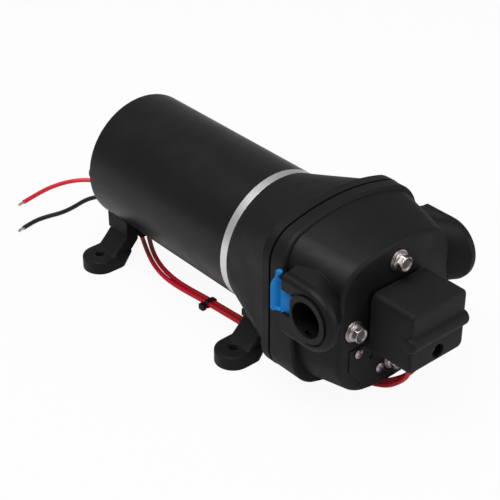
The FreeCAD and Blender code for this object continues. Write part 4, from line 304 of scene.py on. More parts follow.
# Head screws and washers, cover screws, piston screws and the adjusting screw.
# Cold headed stainless steel, tumbled bright, with the grey of the drawing lubricant left in the hollows.
stainless, tree, place = finish_named("tumbled_stainless_steel")
wear = add(tree, "TexNoise", {"Vector": place, "Scale": spaced_mm(2.2), "Detail": 4.0})
scuffs = add(tree, "TexNoise", {"Vector": place, "Scale": spaced_mm(0.6), "Detail": 2.0})
tone = add(tree, "ValToRGB", {"Fac": wear.outputs["Fac"]}, ramp=("#a39d9c", "#c9c1bf"))
relief = add(tree, "Bump", {"Height": scuffs.outputs["Fac"], "Strength": 0.06, "Distance": 0.0002})
roughness = add(tree, "MapRange", {"Value": wear.outputs["Fac"], "To Min": 0.26, "To Max": 0.4})
shader = add(tree, "BsdfPrincipled", {
    "Base Color": tone.outputs["Color"], "Metallic": 1.0, "Roughness": roughness.outputs["Result"],
    "Normal": relief.outputs["Normal"],
})
add(tree, "OutputMaterial", {"Surface": shader.outputs["BSDF"]})
for name in ("piston_screws", "adjusting_screw"):
    coat(name, stainless)


def closed_skin(rings, joined_ends=False):
    """Points and faces of closed shapes made of rings.

    rings has four axes: copies of the shape, rings along it, points round each ring, and x, y, z in metres.
    Each ring is joined to the next by squares. The two end rings get a flat lid, or with joined_ends the
    last is joined to the first. Where the volume summed over the faces is negative, every face is turned
    over.
    """
    copies, rows, columns, _ = rings.shape
    row = np.arange(rows if joined_ends else rows - 1)[:, None]
    column = np.arange(columns)[None, :]
    beside = (column + 1) % columns
    ahead = (row + 1) % rows * columns
    here = row * columns
    squares = np.stack([here + column, here + beside, ahead + beside, ahead + column], axis=-1).reshape(-1, 4)
    points = rings.reshape(copies, -1, 3)
    corners = points[0][squares] - points[0].mean(axis=0)
    volume = sum(np.einsum("ij,ij->", corners[:, 0], np.cross(corners[:, second], corners[:, second + 1]))
                 for second in (1, 2))
    lids = [] if joined_ends else [np.arange(columns)[::-1], np.arange(columns) + (rows - 1) * columns]
    one = [list(face) for face in squares] + [list(lid) for lid in lids]
    if volume < 0:
        one = [face[::-1] for face in one]
    faces = [[corner + copy * rows * columns for corner in face] for copy in range(copies) for face in one]
    return points.reshape(-1, 3), faces


def fit_piece(name, skins, material, body, replaced):
    """One object from several closed skins, riding a body in place of a CAD node."""
    starts = np.cumsum([0] + [len(points) for points, _ in skins])
    faces = [[int(corner + start) for corner in face]
             for start, (_, skin_faces) in zip(starts, skins) for face in skin_faces]
    mesh = bpy.data.meshes.new(name)
    mesh.from_pydata(np.concatenate([points for points, _ in skins]).tolist(), [], faces)
    mesh.shade_smooth()
    mesh.set_sharp_from_angle(angle=math.radians(38))
    mesh.materials.append(material)
    made = bpy.data.objects.new(name, mesh)
    bpy.context.scene.collection.objects.link(made)
    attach(made, body)
    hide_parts(replaced)
    return made


def turned_rings(profile, angles, centres, start):
    """Rings about an axis along x, as on a lathe.

    Each profile row holds a distance along the axis and a radius, in millimetres. A ring's points lie at the
    centre plus the radius times the cosine and sine of the angles. The radius may also be an array with one
    value for each angle.
    """
    along = np.array([row[0] for row in profile])[None, :, None] / 1000 + start
    radius = np.array([np.broadcast_to(row[1], angles.shape[-1:]) for row in profile])[None] / 1000
    across = centres[:, 0, None, None] + radius * np.cos(angles)[..., None, :]
    up = centres[:, 1, None, None] + radius * np.sin(angles)[..., None, :]
    return np.stack(np.broadcast_arrays(along, across, up), axis=-1)


# Washers of the head screws: a flat washer with a spring washer on it, 5.8 and 5 mm in radius, both a little
# rounded by tumbling.
WASHERS_THICK = 0.0012
head_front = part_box("housing_washers")[0].x
axis_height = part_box("motor_can")[1].z - CAN_RADIUS
screw_places = np.array([(0, 28.59), (-28.59, 0), (0, -30), (28.59, 0)]) / 1000 + (0, axis_height)
round_the_screw = np.linspace(0, math.tau, 144, endpoint=False)
washer_profile = [
    (0, 2.62), (0, 5.5), (0.08, 5.72), (0.2, 5.8), (0.42, 5.8), (0.54, 5.72), (0.6, 5.5), (0.6, 5.06),
    (0.66, 4.98), (0.72, 5.04), (0.8, 5.1), (1.06, 5.1), (1.15, 5.02), (1.2, 4.85), (1.2, 2.62),
]
washer_rings = turned_rings(washer_profile, round_the_screw[None], screw_places, head_front)
fit_piece("head_screw_washers", [closed_skin(washer_rings, joined_ends=True)], stainless, "pump",
          "housing_washers")

# Head screws: M5 hexagon screws with a flange, cold headed. The flange is finely toothed, the six flats are
# 7.6 mm apart, and the front of the hexagon is pressed in, which leaves a bright rim round a grey disc.
HALF_FLATS, CORNER_RADIUS = 3.8, 4.28
TEETH, TOOTH_HEIGHT = 32, 0.04
screw_turns = np.array([0.2, 0.75, 0.45, 0.1])[:, None]
to_flat = (round_the_screw + math.pi / 6) % (math.pi / 3) - math.pi / 6
hexagon = np.minimum(HALF_FLATS / np.cos(to_flat), CORNER_RADIUS)
teeth = TOOTH_HEIGHT * np.cos(TEETH * round_the_screw)
shank = [(-54, 0.3), (-54, 2.0), (-53.4, 2.5), (-0.3, 2.5), (0, 2.6)]
flange = [(0.01, 4.7), (0.1, 4.98 + teeth), (0.45, 5.08 + teeth), (0.8, 4.95 + teeth * 0.6), (1.1, 4.62),
          (1.36, 4.4)]
six_flats = [(1.5, np.minimum(hexagon + 0.04, 4.32)), (1.7, hexagon), (3.7, hexagon),
             (3.95, np.minimum(hexagon, 4.12)), (4.2, np.minimum(hexagon, 3.92))]
pressed_face = [(4.36, 3.7), (4.4, 3.55), (4.38, 3.3), (4.24, 3.12), (3.86, 2.98), (3.74, 2.8), (3.7, 2.4),
                (3.72, 0.3)]
screw_rings = turned_rings(shank + flange + six_flats + pressed_face, round_the_screw[None] + screw_turns,
                           screw_places, head_front + WASHERS_THICK)
fit_piece("head_screws", [closed_skin(screw_rings)], stainless, "pump", "housing_screws")

# Cover screws: pan heads, 5.2 mm across, with a cross recess that the driver has left shiny. Inside either of
# two crossed bars the dome lies deeper, and it slopes at their sides and ends.
COVER_THICK = 0.0005
BAR_HALF_WIDTH, BAR_HALF_LENGTH, BAR_DEPTH = 0.45, 1.6, 1.1
BAR_SIDE_SLOPE, BAR_END_SLOPE = 0.15, 0.2
cover_screw_places = np.array([(-25, -15), (-9.6, -31)]) / 1000 + (0, axis_height)
cover_screw_turns = np.array([0.3, 0.9])
pan_rim = [(-0.4, 0.3), (-0.4, 1.25), (0, 1.27), (0, 2.35), (0.12, 2.56), (0.34, 2.6), (0.56, 2.54)]
pan_dome = [(1.42 - 0.14 * radius ** 2, radius) for radius in np.linspace(2.42, 0.06, 24)]
pan = turned_rings(pan_rim + pan_dome, round_the_screw[None] + cover_screw_turns[:, None], cover_screw_places,
                   head_front + COVER_THICK)
offset = (pan[..., 1:] - cover_screw_places[:, None, None, :]) * 1000
turned_back = cover_screw_turns[:, None, None]
bar_y = offset[..., 0] * np.cos(turned_back) + offset[..., 1] * np.sin(turned_back)
bar_z = offset[..., 1] * np.cos(turned_back) - offset[..., 0] * np.sin(turned_back)
inside = [np.clip((BAR_HALF_WIDTH - abs(thin)) / BAR_SIDE_SLOPE, 0, 1)
          * np.clip((BAR_HALF_LENGTH - abs(long)) / BAR_END_SLOPE, 0, 1)
          for thin, long in ((bar_y, bar_z), (bar_z, bar_y))]
on_the_dome = (np.arange(pan.shape[1]) >= len(pan_rim))[None, :, None]
pan[..., 0] -= np.maximum(*inside) * on_the_dome * BAR_DEPTH / 1000
fit_piece("cover_plate_screws", [closed_skin(pan)], stainless, "pump", "cover_screws")

# Slide clips.
# Acetal, coloured sky blue in the mass and smooth from the tool, with soft gloss on its rounded grip. Each
# slides in the slots of its port boss and holds the hose fitting.
blue_acetal, tree, place = finish_named("blue_acetal")
cloud = add(tree, "TexNoise", {"Vector": place, "Scale": spaced_mm(5), "Detail": 2.0})
tone = add(tree, "ValToRGB", {"Fac": cloud.outputs["Fac"]}, ramp=("#0a6aae", "#1880ce"))
shader = add(tree, "BsdfPrincipled", {
    "Base Color": tone.outputs["Color"], "Roughness": 0.4, "IOR": 1.48, "Specular IOR Level": 0.07,
})
add(tree, "OutputMaterial", {"Surface": shader.outputs["BSDF"]})


def moulded_sections(along, a_low, a_high, b_low, b_high, squareness, columns=64):
    """Cross-sections one after another along an axis, each a rounded rectangle between the given limits.

    A point of a section lies at its middle plus half its width times the cosine of an angle, and half its
    depth times the sine, both raised to the power of two over the squareness with their signs kept. The
    last axis holds the place along, then a, then b.
    """
    angle = np.linspace(0, math.tau, columns, endpoint=False)
    power = 2 / squareness
    wide = np.sign(np.cos(angle)) * abs(np.cos(angle)) ** power
    deep = np.sign(np.sin(angle)) * abs(np.sin(angle)) ** power
    limits = np.broadcast_arrays(along, a_low, a_high, b_low, b_high)
    along, a_low, a_high, b_low, b_high = (np.asarray(limit)[:, None] for limit in limits)
    a = (a_low + a_high) / 2 + (a_high - a_low) / 2 * wide
    b = (b_low + b_high) / 2 + (b_high - b_low) / 2 * deep
    return np.stack(np.broadcast_arrays(along, a, b), axis=-1)[None]


def softened_ends(along, radius):
    """How far sections draw in near both ends of a shape: a quarter circle of the given radius."""
    left = np.minimum(along - along.min(), along.max() - along)
    return radius - np.sqrt(radius ** 2 - np.maximum(radius - left, 0) ** 2)


# Every length of a clip is in millimetres from its port's axis: x towards the head's front, y outwards, z up.
CLIP_INNER, CLIP_OUTER = 47.1, 50.0
FORK_INNER, FORK_OUTER = 47.15, 48.85
FORK_HALF_HEIGHT, FORK_REACH, PRONG_THICK = 12.5, 6, 0.8
GRIP_LOW, GRIP_TOP, GRIP_BACK, GRIP_FRONT = -8.3, 17, -27.4, -19.8
# The grip is one column with a round back, a hollow along its front for the finger, a neck and a blunt end
# above it.
HOLLOW_X, HOLLOW_WIDTH, HOLLOW_DEPTH = -20.6, 1.7, 2.5
grip_z = np.concatenate([np.linspace(GRIP_LOW, -6.5, 14), np.linspace(-6.2, 15.2, 70),
                         np.linspace(15.4, GRIP_TOP, 14)])
grip_rear = np.interp(grip_z, [GRIP_LOW, 5.6, 7.2, 9.7, 12.4, 13.8, 15.8, GRIP_TOP],
                      [GRIP_BACK, GRIP_BACK, -27, -25.6, -23.8, -23.4, -23.4, -22.6])
grip_front = np.interp(grip_z, [GRIP_LOW, 9.6, 12.2, 13.6, 15.8, GRIP_TOP],
                       [GRIP_FRONT, GRIP_FRONT, -21, -21.2, -19.3, -19.3])
grip_inner = np.interp(grip_z, [GRIP_LOW, 11, 13, GRIP_TOP], [CLIP_INNER, CLIP_INNER, 48, 48])
drawn_in = softened_ends(grip_z, 0.9)
grip_rings = moulded_sections(grip_z, grip_rear + drawn_in * 0.8, grip_front - drawn_in * 0.6, grip_inner,
                              CLIP_OUTER - drawn_in * 0.5, 2.8, columns=96)
outward = (grip_rings[..., 2] - CLIP_INNER) / (CLIP_OUTER - CLIP_INNER)
hollow = np.exp(-((grip_rings[..., 1] - HOLLOW_X) / HOLLOW_WIDTH) ** 2)
hollow_start = 1 / (1 + np.exp(-(grip_rings[..., 0] + 6.3) * 3))
hollow_end = 1 / (1 + np.exp((grip_rings[..., 0] - 10.6) * 1.8))
grip_rings[..., 2] -= HOLLOW_DEPTH * hollow * hollow_start * hollow_end * np.clip(outward, 0, 1)
# Its lower end is cut back by 2.1 mm from the middle forwards.
cut_back = np.interp(grip_rings[..., 1], [GRIP_BACK, -24.8, -22.4, GRIP_FRONT], [0, 0, 2.1, 1.8])
grip_rings[..., 0] += cut_back * np.clip((-3.5 - grip_rings[..., 0]) / 4.8, 0, 1)
# The web between grip and fork has a wavy lower edge where the finger hooks under it.
web_x = np.linspace(-20.2, -11.6, 60)
web_low = np.interp(web_x, [-20.2, -19.3, -17.8, -16.8, -15.8, -14.4, -11.6],
                    [-6.9, -7.8, -7.8, -6.4, -5.4, -5.2, -5.2])
web_rings = moulded_sections(web_x, web_low, 8.5, CLIP_INNER, 48.9, 9)
# The fork is an upright yoke with two thin prongs that reach past the port's axis.
yoke_z = np.linspace(-FORK_HALF_HEIGHT, FORK_HALF_HEIGHT, 40)
yoke_in = softened_ends(yoke_z, 0.5)
yoke_rings = moulded_sections(yoke_z, -14.1 + yoke_in, -11.5 - yoke_in, FORK_INNER, FORK_OUTER, 6)
prong_x = np.linspace(-13.9, FORK_REACH, 50)
prong_in = softened_ends(prong_x, 0.4)
prong_rings = [
    moulded_sections(prong_x, low + prong_in, low + PRONG_THICK - prong_in, FORK_INNER, FORK_OUTER, 5)
    for low in (-FORK_HALF_HEIGHT, FORK_HALF_HEIGHT - PRONG_THICK)
]
clip_rings = [grip_rings[..., [1, 2, 0]], web_rings[..., [0, 2, 1]], yoke_rings[..., [1, 2, 0]]]
clip_rings += [rings[..., [0, 2, 1]] for rings in prong_rings]
clip_low, clip_high = (np.array(corner) * 1000 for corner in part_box("clip_left"))
port_place = np.array((clip_high[0] - FORK_REACH, 0, clip_low[2] + FORK_HALF_HEIGHT))
for side, turned_over in (("left", -1), ("right", 1)):
    # The left clip looks outwards along -y with its knob up; the right one is the same moulding turned over.
    turned = [(port_place + rings * (1, turned_over, -turned_over)) / 1000 for rings in clip_rings]
    fit_piece(f"slide_clip_{side}", [closed_skin(rings) for rings in turned], blue_acetal, f"{side}_clip",
              f"clip_{side}")

# Feet.
# Soft rubber mouldings, four alike: a pad 8.2 mm thick with a screw hole, all its edges rounded, and a leg
# that slopes up from it to a lug in the block above. Lengths are in millimetres: u runs along the pump and
# v outwards from its middle.
HOLE_V, HOLE_RADIUS = 40.5, 2.6
PAD_RADIUS, PAD_TOP, PAD_EDGE = 10.3, 8.2, 1.3
REACH_AT_FLOOR, REACH_GROWS = 10.7, 6.8
LEG_TOP, LEG_HALF_WIDTH, LEG_OUTER, LEG_INNER = 18, 8.7, 27, 18.1
LUG_LOW, LUG_TOP, LUG_INNER, LUG_OUTER = 17.9, 22, 19.5, 24
STEP_DEPTH, STEP_U, FLARE, FLARE_FADE = 0.6, -0.4, 0.8, 0.9
round_the_hole = np.linspace(0, math.tau, 120, endpoint=False)
along_u, along_v = np.cos(round_the_hole), np.sin(round_the_hole)


def pad_edge(height):
    """How far the pad reaches from its hole at this height, for each angle round the hole.

    Outwards it ends in a half circle. Inwards it ends in a rectangle with rounded corners: one over the
    ninth root of the sum of the ninth powers of cosine over radius and sine over reach. The reach grows
    with the height, so that the end slopes with the leg.
    """
    inward = REACH_AT_FLOOR + REACH_GROWS * height / PAD_TOP
    blunt_end = ((abs(along_u) / PAD_RADIUS) ** 9 + (abs(along_v) / inward) ** 9) ** (-1 / 9)
    return np.where(along_v < 0, blunt_end, PAD_RADIUS)


quarter = np.linspace(0, math.pi / 2, 9)
pad_rows = [(0, HOLE_RADIUS), (0, pad_edge(0) - 0.5), (0.4, pad_edge(0.4))]
pad_rows += [(height, pad_edge(height)) for height in np.linspace(1, 6.5, 8)]
pad_rows += [(height, pad_edge(height) - PAD_EDGE + PAD_EDGE * math.cos(angle))
             for angle, height in zip(quarter, PAD_TOP - PAD_EDGE + PAD_EDGE * np.sin(quarter))]
pad_rows += [(PAD_TOP, 3.2), (PAD_TOP - 0.12, 2.85), (PAD_TOP - 0.5, HOLE_RADIUS)]
pad_rings = np.stack([
    np.stack(np.broadcast_arrays(along_u * reach, HOLE_V + along_v * reach, height), axis=-1)
    for height, reach in pad_rows
])[None]
# The outer face of the leg slopes and flares onto the pad, and one half of it lies a step deeper.
leg_z = np.concatenate([np.linspace(1, 8, 6), np.linspace(PAD_TOP, 11.5, 24), np.linspace(11.9, LEG_TOP, 12)])
leg_outer = np.interp(leg_z, [1, 7.6, LEG_TOP], [37.6, 37.6, LEG_OUTER])
leg_inner = np.interp(leg_z, [1, 13.45, LEG_TOP], [30, LEG_INNER, LEG_INNER])
leg_rings = moulded_sections(leg_z, -LEG_HALF_WIDTH, LEG_HALF_WIDTH, leg_inner, leg_outer, 7, columns=120)
from_inside = (leg_rings[..., 2] - leg_inner[None, :, None]) / (leg_outer - leg_inner)[None, :, None]
outer_half = np.clip(from_inside * 2 - 1, 0, 1)
leg_rings[..., 2] -= STEP_DEPTH / (1 + np.exp(4 * (leg_rings[..., 1] - STEP_U))) * outer_half
leg_rings[..., 2] += FLARE * np.exp(-abs(leg_rings[..., 0] - PAD_TOP) / FLARE_FADE) * outer_half
lug_rings = moulded_sections(np.linspace(LUG_LOW, LUG_TOP, 8), -LEG_HALF_WIDTH, LEG_HALF_WIDTH, LUG_INNER,
                             LUG_OUTER, 9)
for end in ("front", "rear"):
    for side, outward in (("left", -1), ("right", 1)):
        # A right foot is the left one turned half round.
        node = f"foot_{end}_{side}"
        hole_x = sum(corner.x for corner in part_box(node)) / 2
        turn, shift = (-outward / 1000, outward / 1000, 0.001), (hole_x, 0, 0)
        skins = [closed_skin(pad_rings * turn + shift, joined_ends=True)]
        skins += [closed_skin(rings[..., [1, 2, 0]] * turn + shift) for rings in (leg_rings, lug_rings)]
        fit_piece(f"rubber_foot_{end}_{side}", skins, matt_rubber, "pump", node)

# Leads.
# Two red leads run under the motor, from the switch to the motor and to the supply, and a black one comes
# out of the rear grommet. Each is tinned copper strands in 2.7 mm soft PVC, glossy from the extruder.
LEAD_DIAMETER = 0.0027
SWITCH_TERMINAL_X = 0.15485
FLOOR_LINE = LEAD_DIAMETER / 2
TIED_LINE = FLOOR_LINE + 0.00115
GROMMET_FACE_X = -0.0728
supply_route = [
    (SWITCH_TERMINAL_X, -0.007, 0.043), (SWITCH_TERMINAL_X, -0.007, 0.034), (0.1508, -0.004, 0.0245),
    (0.1462, -0.0016, 0.018), (0.1415, -0.0006, 0.0125), (0.1335, 0.0002, 0.0052),
    (0.123, -0.001, FLOOR_LINE + 0.0001), (0.108, -0.0036, FLOOR_LINE), (0.090, -0.0076, FLOOR_LINE),
    (0.070, -0.0128, FLOOR_LINE), (0.052, -0.0162, FLOOR_LINE), (0.036, -0.018, FLOOR_LINE + 0.0006),
    (0.022, -0.0194, TIED_LINE), (0.009, -0.0204, TIED_LINE), (-0.007, -0.0214, FLOOR_LINE + 0.0003),
    (-0.022, -0.0216, FLOOR_LINE), (-0.037, -0.0186, FLOOR_LINE), (-0.052, -0.0124, FLOOR_LINE),
    (-0.068, -0.0044, FLOOR_LINE), (-0.087, 0.005, FLOOR_LINE), (-0.106, 0.0124, FLOOR_LINE),
    (-0.124, 0.0164, FLOOR_LINE), (-0.137, 0.016, FLOOR_LINE), (-0.1465, 0.0096, FLOOR_LINE),
    (-0.1516, 0.0, FLOOR_LINE), (-0.1532, -0.012, FLOOR_LINE), (-0.1516, -0.024, FLOOR_LINE),
    (-0.1486, -0.0361, FLOOR_LINE),
]
motor_route = [
    (SWITCH_TERMINAL_X, 0.007, 0.043), (SWITCH_TERMINAL_X, 0.007, 0.034), (0.149, 0.0054, 0.025),
    (0.1446, 0.0042, 0.0176), (0.139, 0.0034, 0.0118), (0.130, 0.0028, 0.0048),
    (0.119, 0.0018, FLOOR_LINE + 0.0001), (0.105, -0.0009, FLOOR_LINE), (0.088, -0.0046, FLOOR_LINE),
    (0.069, -0.0094, FLOOR_LINE), (0.051, -0.0128, FLOOR_LINE), (0.035, -0.0148, FLOOR_LINE + 0.0006),
    (0.021, -0.0163, TIED_LINE), (0.009, -0.0173, TIED_LINE), (-0.007, -0.0182, FLOOR_LINE + 0.0003),
    (-0.021, -0.0181, FLOOR_LINE), (-0.035, -0.0156, FLOOR_LINE), (-0.0485, -0.0106, FLOOR_LINE),
    (-0.061, -0.0038, FLOOR_LINE), (-0.072, 0.0026, FLOOR_LINE + 0.0008), (-0.0815, 0.0048, 0.0054),
    (-0.089, 0.0044, 0.0126), (-0.0924, 0.0038, 0.0214), (-0.0876, 0.004, 0.0294),
    (GROMMET_FACE_X - 0.005, 0.004, 0.031), (GROMMET_FACE_X, 0.004, 0.031),
]
black_route = [
    (GROMMET_FACE_X, 0.009, 0.031), (GROMMET_FACE_X - 0.007, 0.009, 0.031),
    (GROMMET_FACE_X - 0.015, 0.0096, 0.0274), (-0.0945, 0.0108, 0.0196), (-0.1015, 0.0116, 0.0112),
    (-0.110, 0.011, 0.0046), (-0.1185, 0.0082, FLOOR_LINE + 0.0002), (-0.1244, 0.0022, FLOOR_LINE),
    (-0.1254, -0.006, FLOOR_LINE), (-0.1232, -0.015, FLOOR_LINE), (-0.1222, -0.025, FLOOR_LINE),
    (-0.1246, -0.035, FLOOR_LINE), (-0.1252, -0.044, FLOOR_LINE), (-0.1228, -0.053, FLOOR_LINE),
]


def lead(name, route):
    """A round curve whose NURBS line has the route's points as control points."""
    curve = bpy.data.curves.new(name, "CURVE")
    curve.dimensions = "3D"
    line = curve.splines.new("NURBS")
    line.points.add(len(route) - 1)
    line.points.foreach_set("co", np.column_stack([np.array(route), np.ones(len(route))]).ravel())
    line.order_u = 3
    line.use_endpoint_u = True
    line.resolution_u = 10
    curve.bevel_depth = LEAD_DIAMETER / 2
    curve.bevel_resolution = 5
    curve.use_fill_caps = True
    made = bpy.data.objects.new(name, curve)
    bpy.context.scene.collection.objects.link(made)
    return made


def lead_insulation(name, dark, light):
    """Soft PVC straight from the extruder: a little uneven in tone and surface, with a soft gloss."""
    material, tree, place = finish_named(name)
    cloud = add(tree, "TexNoise", {"Vector": place, "Scale": spaced_mm(3.5), "Detail": 3.0})
    tone = add(tree, "ValToRGB", {"Fac": cloud.outputs["Fac"]}, ramp=(dark, light))
    relief = add(tree, "Bump", {"Height": cloud.outputs["Fac"], "Strength": 0.03, "Distance": 0.0002})
    shader = add(tree, "BsdfPrincipled", {
        "Base Color": tone.outputs["Color"], "Roughness": 0.4, "IOR": 1.5, "Normal": relief.outputs["Normal"],
    })
    add(tree, "OutputMaterial", {"Surface": shader.outputs["BSDF"]})
    return material


# Bared ends of the supply leads.
# Seven tinned copper strands each, 0.54 mm thick, lightly twisted together and 4.5 mm long.
STRANDS, STRAND_RADIUS, HELIX_RADIUS, TURN_LENGTH = 7, 0.00027, 0.00056, 0.009
BARED_LENGTH, HIDDEN_LENGTH = 0.0045, 0.0004
tinned_copper, tree, place = finish_named("tinned_copper_strands")
cloud = add(tree, "TexNoise", {"Vector": place, "Scale": spaced_mm(0.8), "Detail": 2.0})
relief = add(tree, "Bump", {"Height": cloud.outputs["Fac"], "Strength": 0.3, "Distance": 0.0002})
shader = add(tree, "BsdfPrincipled", {
    "Base Color": linear("#cfc4b4"), "Metallic": 1.0, "Roughness": 0.3, "Normal": relief.outputs["Normal"],
})
add(tree, "OutputMaterial", {"Surface": shader.outputs["BSDF"]})


def twisted_strands(last_point, point_before):
    """Seven strands beyond a lead's end: one straight in the middle, six on a helix round it.

    A strand's middle line is the end point plus the way it goes times t, plus the helix radius times the
    cosine and sine of its own start angle and the turns made by t. The helix narrows a little towards the
    tip. Round that line runs a circle of the strand's radius.
    """
    way = np.array(last_point) - np.array(point_before)
    way /= np.linalg.norm(way)
    side = np.cross(way, (0, 0, 1))
    side /= np.linalg.norm(side)
    top = np.cross(side, way)
    t = np.linspace(-HIDDEN_LENGTH, BARED_LENGTH, 14)[None, :, None, None]
    strand = np.arange(STRANDS)[:, None, None, None]
    lay_angle = strand * math.tau / (STRANDS - 1) + t * math.tau / TURN_LENGTH
    out = np.where(strand < STRANDS - 1, HELIX_RADIUS, 0.0) * (1 - t * 12)
    round_it = np.linspace(0, math.tau, 10, endpoint=False)[None, None, :, None]
    middle = np.array(last_point) + way * t + out * (np.cos(lay_angle) * side + np.sin(lay_angle) * top)
    return middle + STRAND_RADIUS * (np.cos(round_it) * side + np.sin(round_it) * top)


bared_ends = np.concatenate([twisted_strands(route[-1], route[-2]) for route in (supply_route, black_route)])
bared_strands = fit_piece("bared_strands", [closed_skin(bared_ends)], tinned_copper, "pump", "lead_strands")

red_pvc = lead_insulation("extruded_red_pvc", "#d20c24", "#e21a33")
black_pvc = lead_insulation("extruded_black_pvc", "#0f0f10", "#161617")
for name, route, material, slot_name, length, far in (
        ("red_supply_wire", supply_route, red_pvc, "red_pvc", 0.385, "bare"),
        ("red_motor_wire", motor_route, red_pvc, "red_pvc", 0.309, "object"),
        ("black_supply_wire", black_route, black_pvc, "black_pvc", 0.121, "bare")):
    wire = lead(name, route)
    wire.data.materials.append(material)
    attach(wire, "pump")
    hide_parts(name.replace("wire", "lead"))

# Cable tie.
# A black nylon strap, moulded with fine teeth, drawn tight round the two red leads by its locking head and
# cut off short behind it.
black_nylon, tree, place = finish_named("black_nylon_tie")
cloud = add(tree, "TexNoise", {"Vector": place, "Scale": spaced_mm(1.5), "Detail": 2.0})
relief = add(tree, "Bump", {"Height": cloud.outputs["Fac"], "Strength": 0.1, "Distance": 0.0002})
roughness = add(tree, "MapRange", {"Value": cloud.outputs["Fac"], "To Min": 0.3, "To Max": 0.42})
shader = add(tree, "BsdfPrincipled", {
    "Base Color": linear("#0d0d0e"), "Roughness": roughness.outputs["Result"],
    "Normal": relief.outputs["Normal"], "IOR": 1.53, "Specular IOR Level": 0.3,
})
add(tree, "OutputMaterial", {"Surface": shader.outputs["BSDF"]})
# The strap's middle line is a stadium round the two leads: two half circles, whose centres lie 3.4 mm
# apart, joined by straight runs. The teeth across it change its thickness as a cosine, one tooth in seven
# rows. Lengths are in millimetres.
TIE_X, TIE_Y, TIE_Z = 14.0, -18.5, 2.5
BEND_RADIUS, HALF_GAP, RUN_ROWS, ROWS_A_TOOTH = 1.98, 1.7, 30, 7
STRAP_HALF_WIDTH, STRAP_HALF_DEPTH, TOOTH_DEPTH = 1.29, 0.45, 0.06
run = np.linspace(0, 1, RUN_ROWS, endpoint=False)
bend = np.linspace(0, math.pi, 40, endpoint=False)
level, upright = np.full(RUN_ROWS, BEND_RADIUS), np.zeros(RUN_ROWS)
strap_y = np.concatenate([-HALF_GAP + run * 2 * HALF_GAP, HALF_GAP + BEND_RADIUS * np.sin(bend),
                          HALF_GAP - run * 2 * HALF_GAP, -HALF_GAP - BEND_RADIUS * np.sin(bend)])
strap_z = np.concatenate([-level, -BEND_RADIUS * np.cos(bend), level, BEND_RADIUS * np.cos(bend)])
outward_y = np.concatenate([upright, np.sin(bend), upright, -np.sin(bend)])
outward_z = np.concatenate([-level / BEND_RADIUS, -np.cos(bend), level / BEND_RADIUS, np.cos(bend)])
section_angle = np.linspace(0, math.tau, 16, endpoint=False)
across = STRAP_HALF_WIDTH * np.sign(np.cos(section_angle)) * abs(np.cos(section_angle)) ** 0.25
through = STRAP_HALF_DEPTH * np.sign(np.sin(section_angle)) * abs(np.sin(section_angle)) ** 0.6
tooth = TOOTH_DEPTH * np.cos(np.arange(len(strap_y)) * math.tau / ROWS_A_TOOTH)
depth = through[None, :] + tooth[:, None] * (through > 0)
strap_rings = np.stack(np.broadcast_arrays(
    TIE_X + across[None, :], TIE_Y + strap_y[:, None] + outward_y[:, None] * depth,
    TIE_Z + strap_z[:, None] + outward_z[:, None] * depth), axis=-1)[None]
# The locking head is a rounded block beside the leads, with the cut end of the strap standing 0.7 mm out of
# it.
HEAD_LOW, HEAD_TOP, HEAD_HALF_WIDTH, HEAD_OUTER, HEAD_INNER = 0.25, 4.3, 2.2, 7.3, 3.7
head_z = np.linspace(HEAD_LOW, HEAD_TOP, 24)
head_in = softened_ends(head_z, 1.1)
head_rings = moulded_sections(head_z, TIE_X - HEAD_HALF_WIDTH + head_in, TIE_X + HEAD_HALF_WIDTH - head_in,
                              TIE_Y - HEAD_OUTER + head_in, TIE_Y - HEAD_INNER - head_in, 3.4)
stub_z = np.linspace(3.6, 5.0, 8)
stub_rings = moulded_sections(stub_z, TIE_X - 1.2, TIE_X + 1.2, TIE_Y - 5.6, TIE_Y - 4.7, 5, columns=24)
tie_skins = [closed_skin(strap_rings / 1000, joined_ends=True)]
tie_skins += [closed_skin(rings[..., [1, 2, 0]] / 1000) for rings in (head_rings, stub_rings)]
fit_piece("cable_tie_on_leads", tie_skins, black_nylon, "pump", "cable_tie")

# Floor and light.
# A white table in a light tent: one wide soft lamp high on the left, a weaker one on the right, and the white
# of the tent all round. The floor is seen white and keeps the pump's shadow.
TABLE_HALF, TABLE_TOP, SEEN_WHITE = 3.0, -0.00005, 0.94
white_table, tree, place = finish_named("white_table")
path = add(tree, "LightPath")
cloud = add(tree, "TexNoise", {"Vector": place, "Scale": 3.0, "Detail": 2.0})
tone = add(tree, "ValToRGB", {"Fac": cloud.outputs["Fac"]}, ramp=("#cecece", "#d2d2d2"))
matt = add(tree, "BsdfDiffuse", {"Color": tone.outputs["Color"]})
white = add(tree, "Emission", {"Color": linear("#ffffff"), "Strength": 1.0})
seen = add(tree, "Math", {0: path.outputs["Is Camera Ray"], 1: SEEN_WHITE}, operation="MULTIPLY")
mixed = add(tree, "MixShader", {0: seen.outputs["Value"], 1: matt.outputs["BSDF"],
                                2: white.outputs["Emission"]})
add(tree, "OutputMaterial", {"Surface": mixed.outputs["Shader"]})
corner_signs = np.array([(-1, -1), (1, -1), (1, 1), (-1, 1)])
table_corners = np.column_stack([corner_signs * TABLE_HALF, np.full(4, TABLE_TOP)])
table_mesh = bpy.data.meshes.new("table_top")
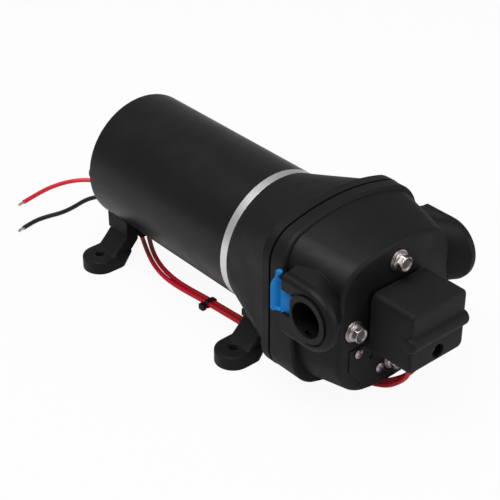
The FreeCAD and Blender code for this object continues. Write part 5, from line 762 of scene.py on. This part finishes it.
table_mesh.from_pydata(table_corners.tolist(), [], [(0, 1, 2, 3)])
table_mesh.materials.append(white_table)
table = bpy.data.objects.new("table_top", table_mesh)
bpy.context.scene.collection.objects.link(table)

world = bpy.data.worlds.new("white_tent")
bpy.context.scene.world = world
world.use_nodes = True
tree = world.node_tree
tree.nodes.clear()
path = add(tree, "LightPath")
tent = add(tree, "Background", {"Color": linear("#ffffff"), "Strength": 0.31})
shown = add(tree, "Background", {"Color": linear("#ffffff"), "Strength": 1.0})
seen = add(tree, "Math", {0: path.outputs["Is Camera Ray"], 1: path.outputs["Is Transmission Ray"]},
           operation="MAXIMUM")
mixed = add(tree, "MixShader", {0: seen.outputs["Value"], 1: tent.outputs["Background"],
                                2: shown.outputs["Background"]})
add(tree, "OutputWorld", {"Surface": mixed.outputs["Shader"]})
LIT_POINT = Vector((0.02, 0, 0.05))


def soft_lamp(name, place, width, height, power):
    """A rectangular lamp at a place, turned to face the pump."""
    lamp = bpy.data.lights.new(name, "AREA")
    lamp.shape = "RECTANGLE"
    lamp.size = width
    lamp.size_y = height
    lamp.energy = power
    made = bpy.data.objects.new(name, lamp)
    made.location = place
    made.rotation_euler = (LIT_POINT - Vector(place)).to_track_quat("-Z", "Y").to_euler()
    bpy.context.scene.collection.objects.link(made)


soft_lamp("lamp_above", (0.1, -0.4, 1.3), 1.1, 0.9, 18)
soft_lamp("lamp_right", (1.2, 0.5, 0.6), 0.8, 0.8, 4.5)

# Camera, where the photograph was taken from.
photo_camera = bpy.data.cameras.new("photo_camera")
photo_camera.sensor_width = 36
photo_camera.lens = 100.8
camera = bpy.data.objects.new("photo_camera", photo_camera)
to_right = Vector((0.6537, 0.7568, 0.0))
to_top = Vector((-0.4105, 0.3546, 0.8402))
to_back = to_right.cross(to_top)
camera.matrix_world = Matrix.Translation((0.5151, -0.4219, 0.4526)) @ Matrix(
    (to_right, to_top, to_back)).transposed().to_4x4()
bpy.context.scene.collection.objects.link(camera)
bpy.context.scene.camera = camera
bpy.context.scene.view_settings.view_transform = "Standard"
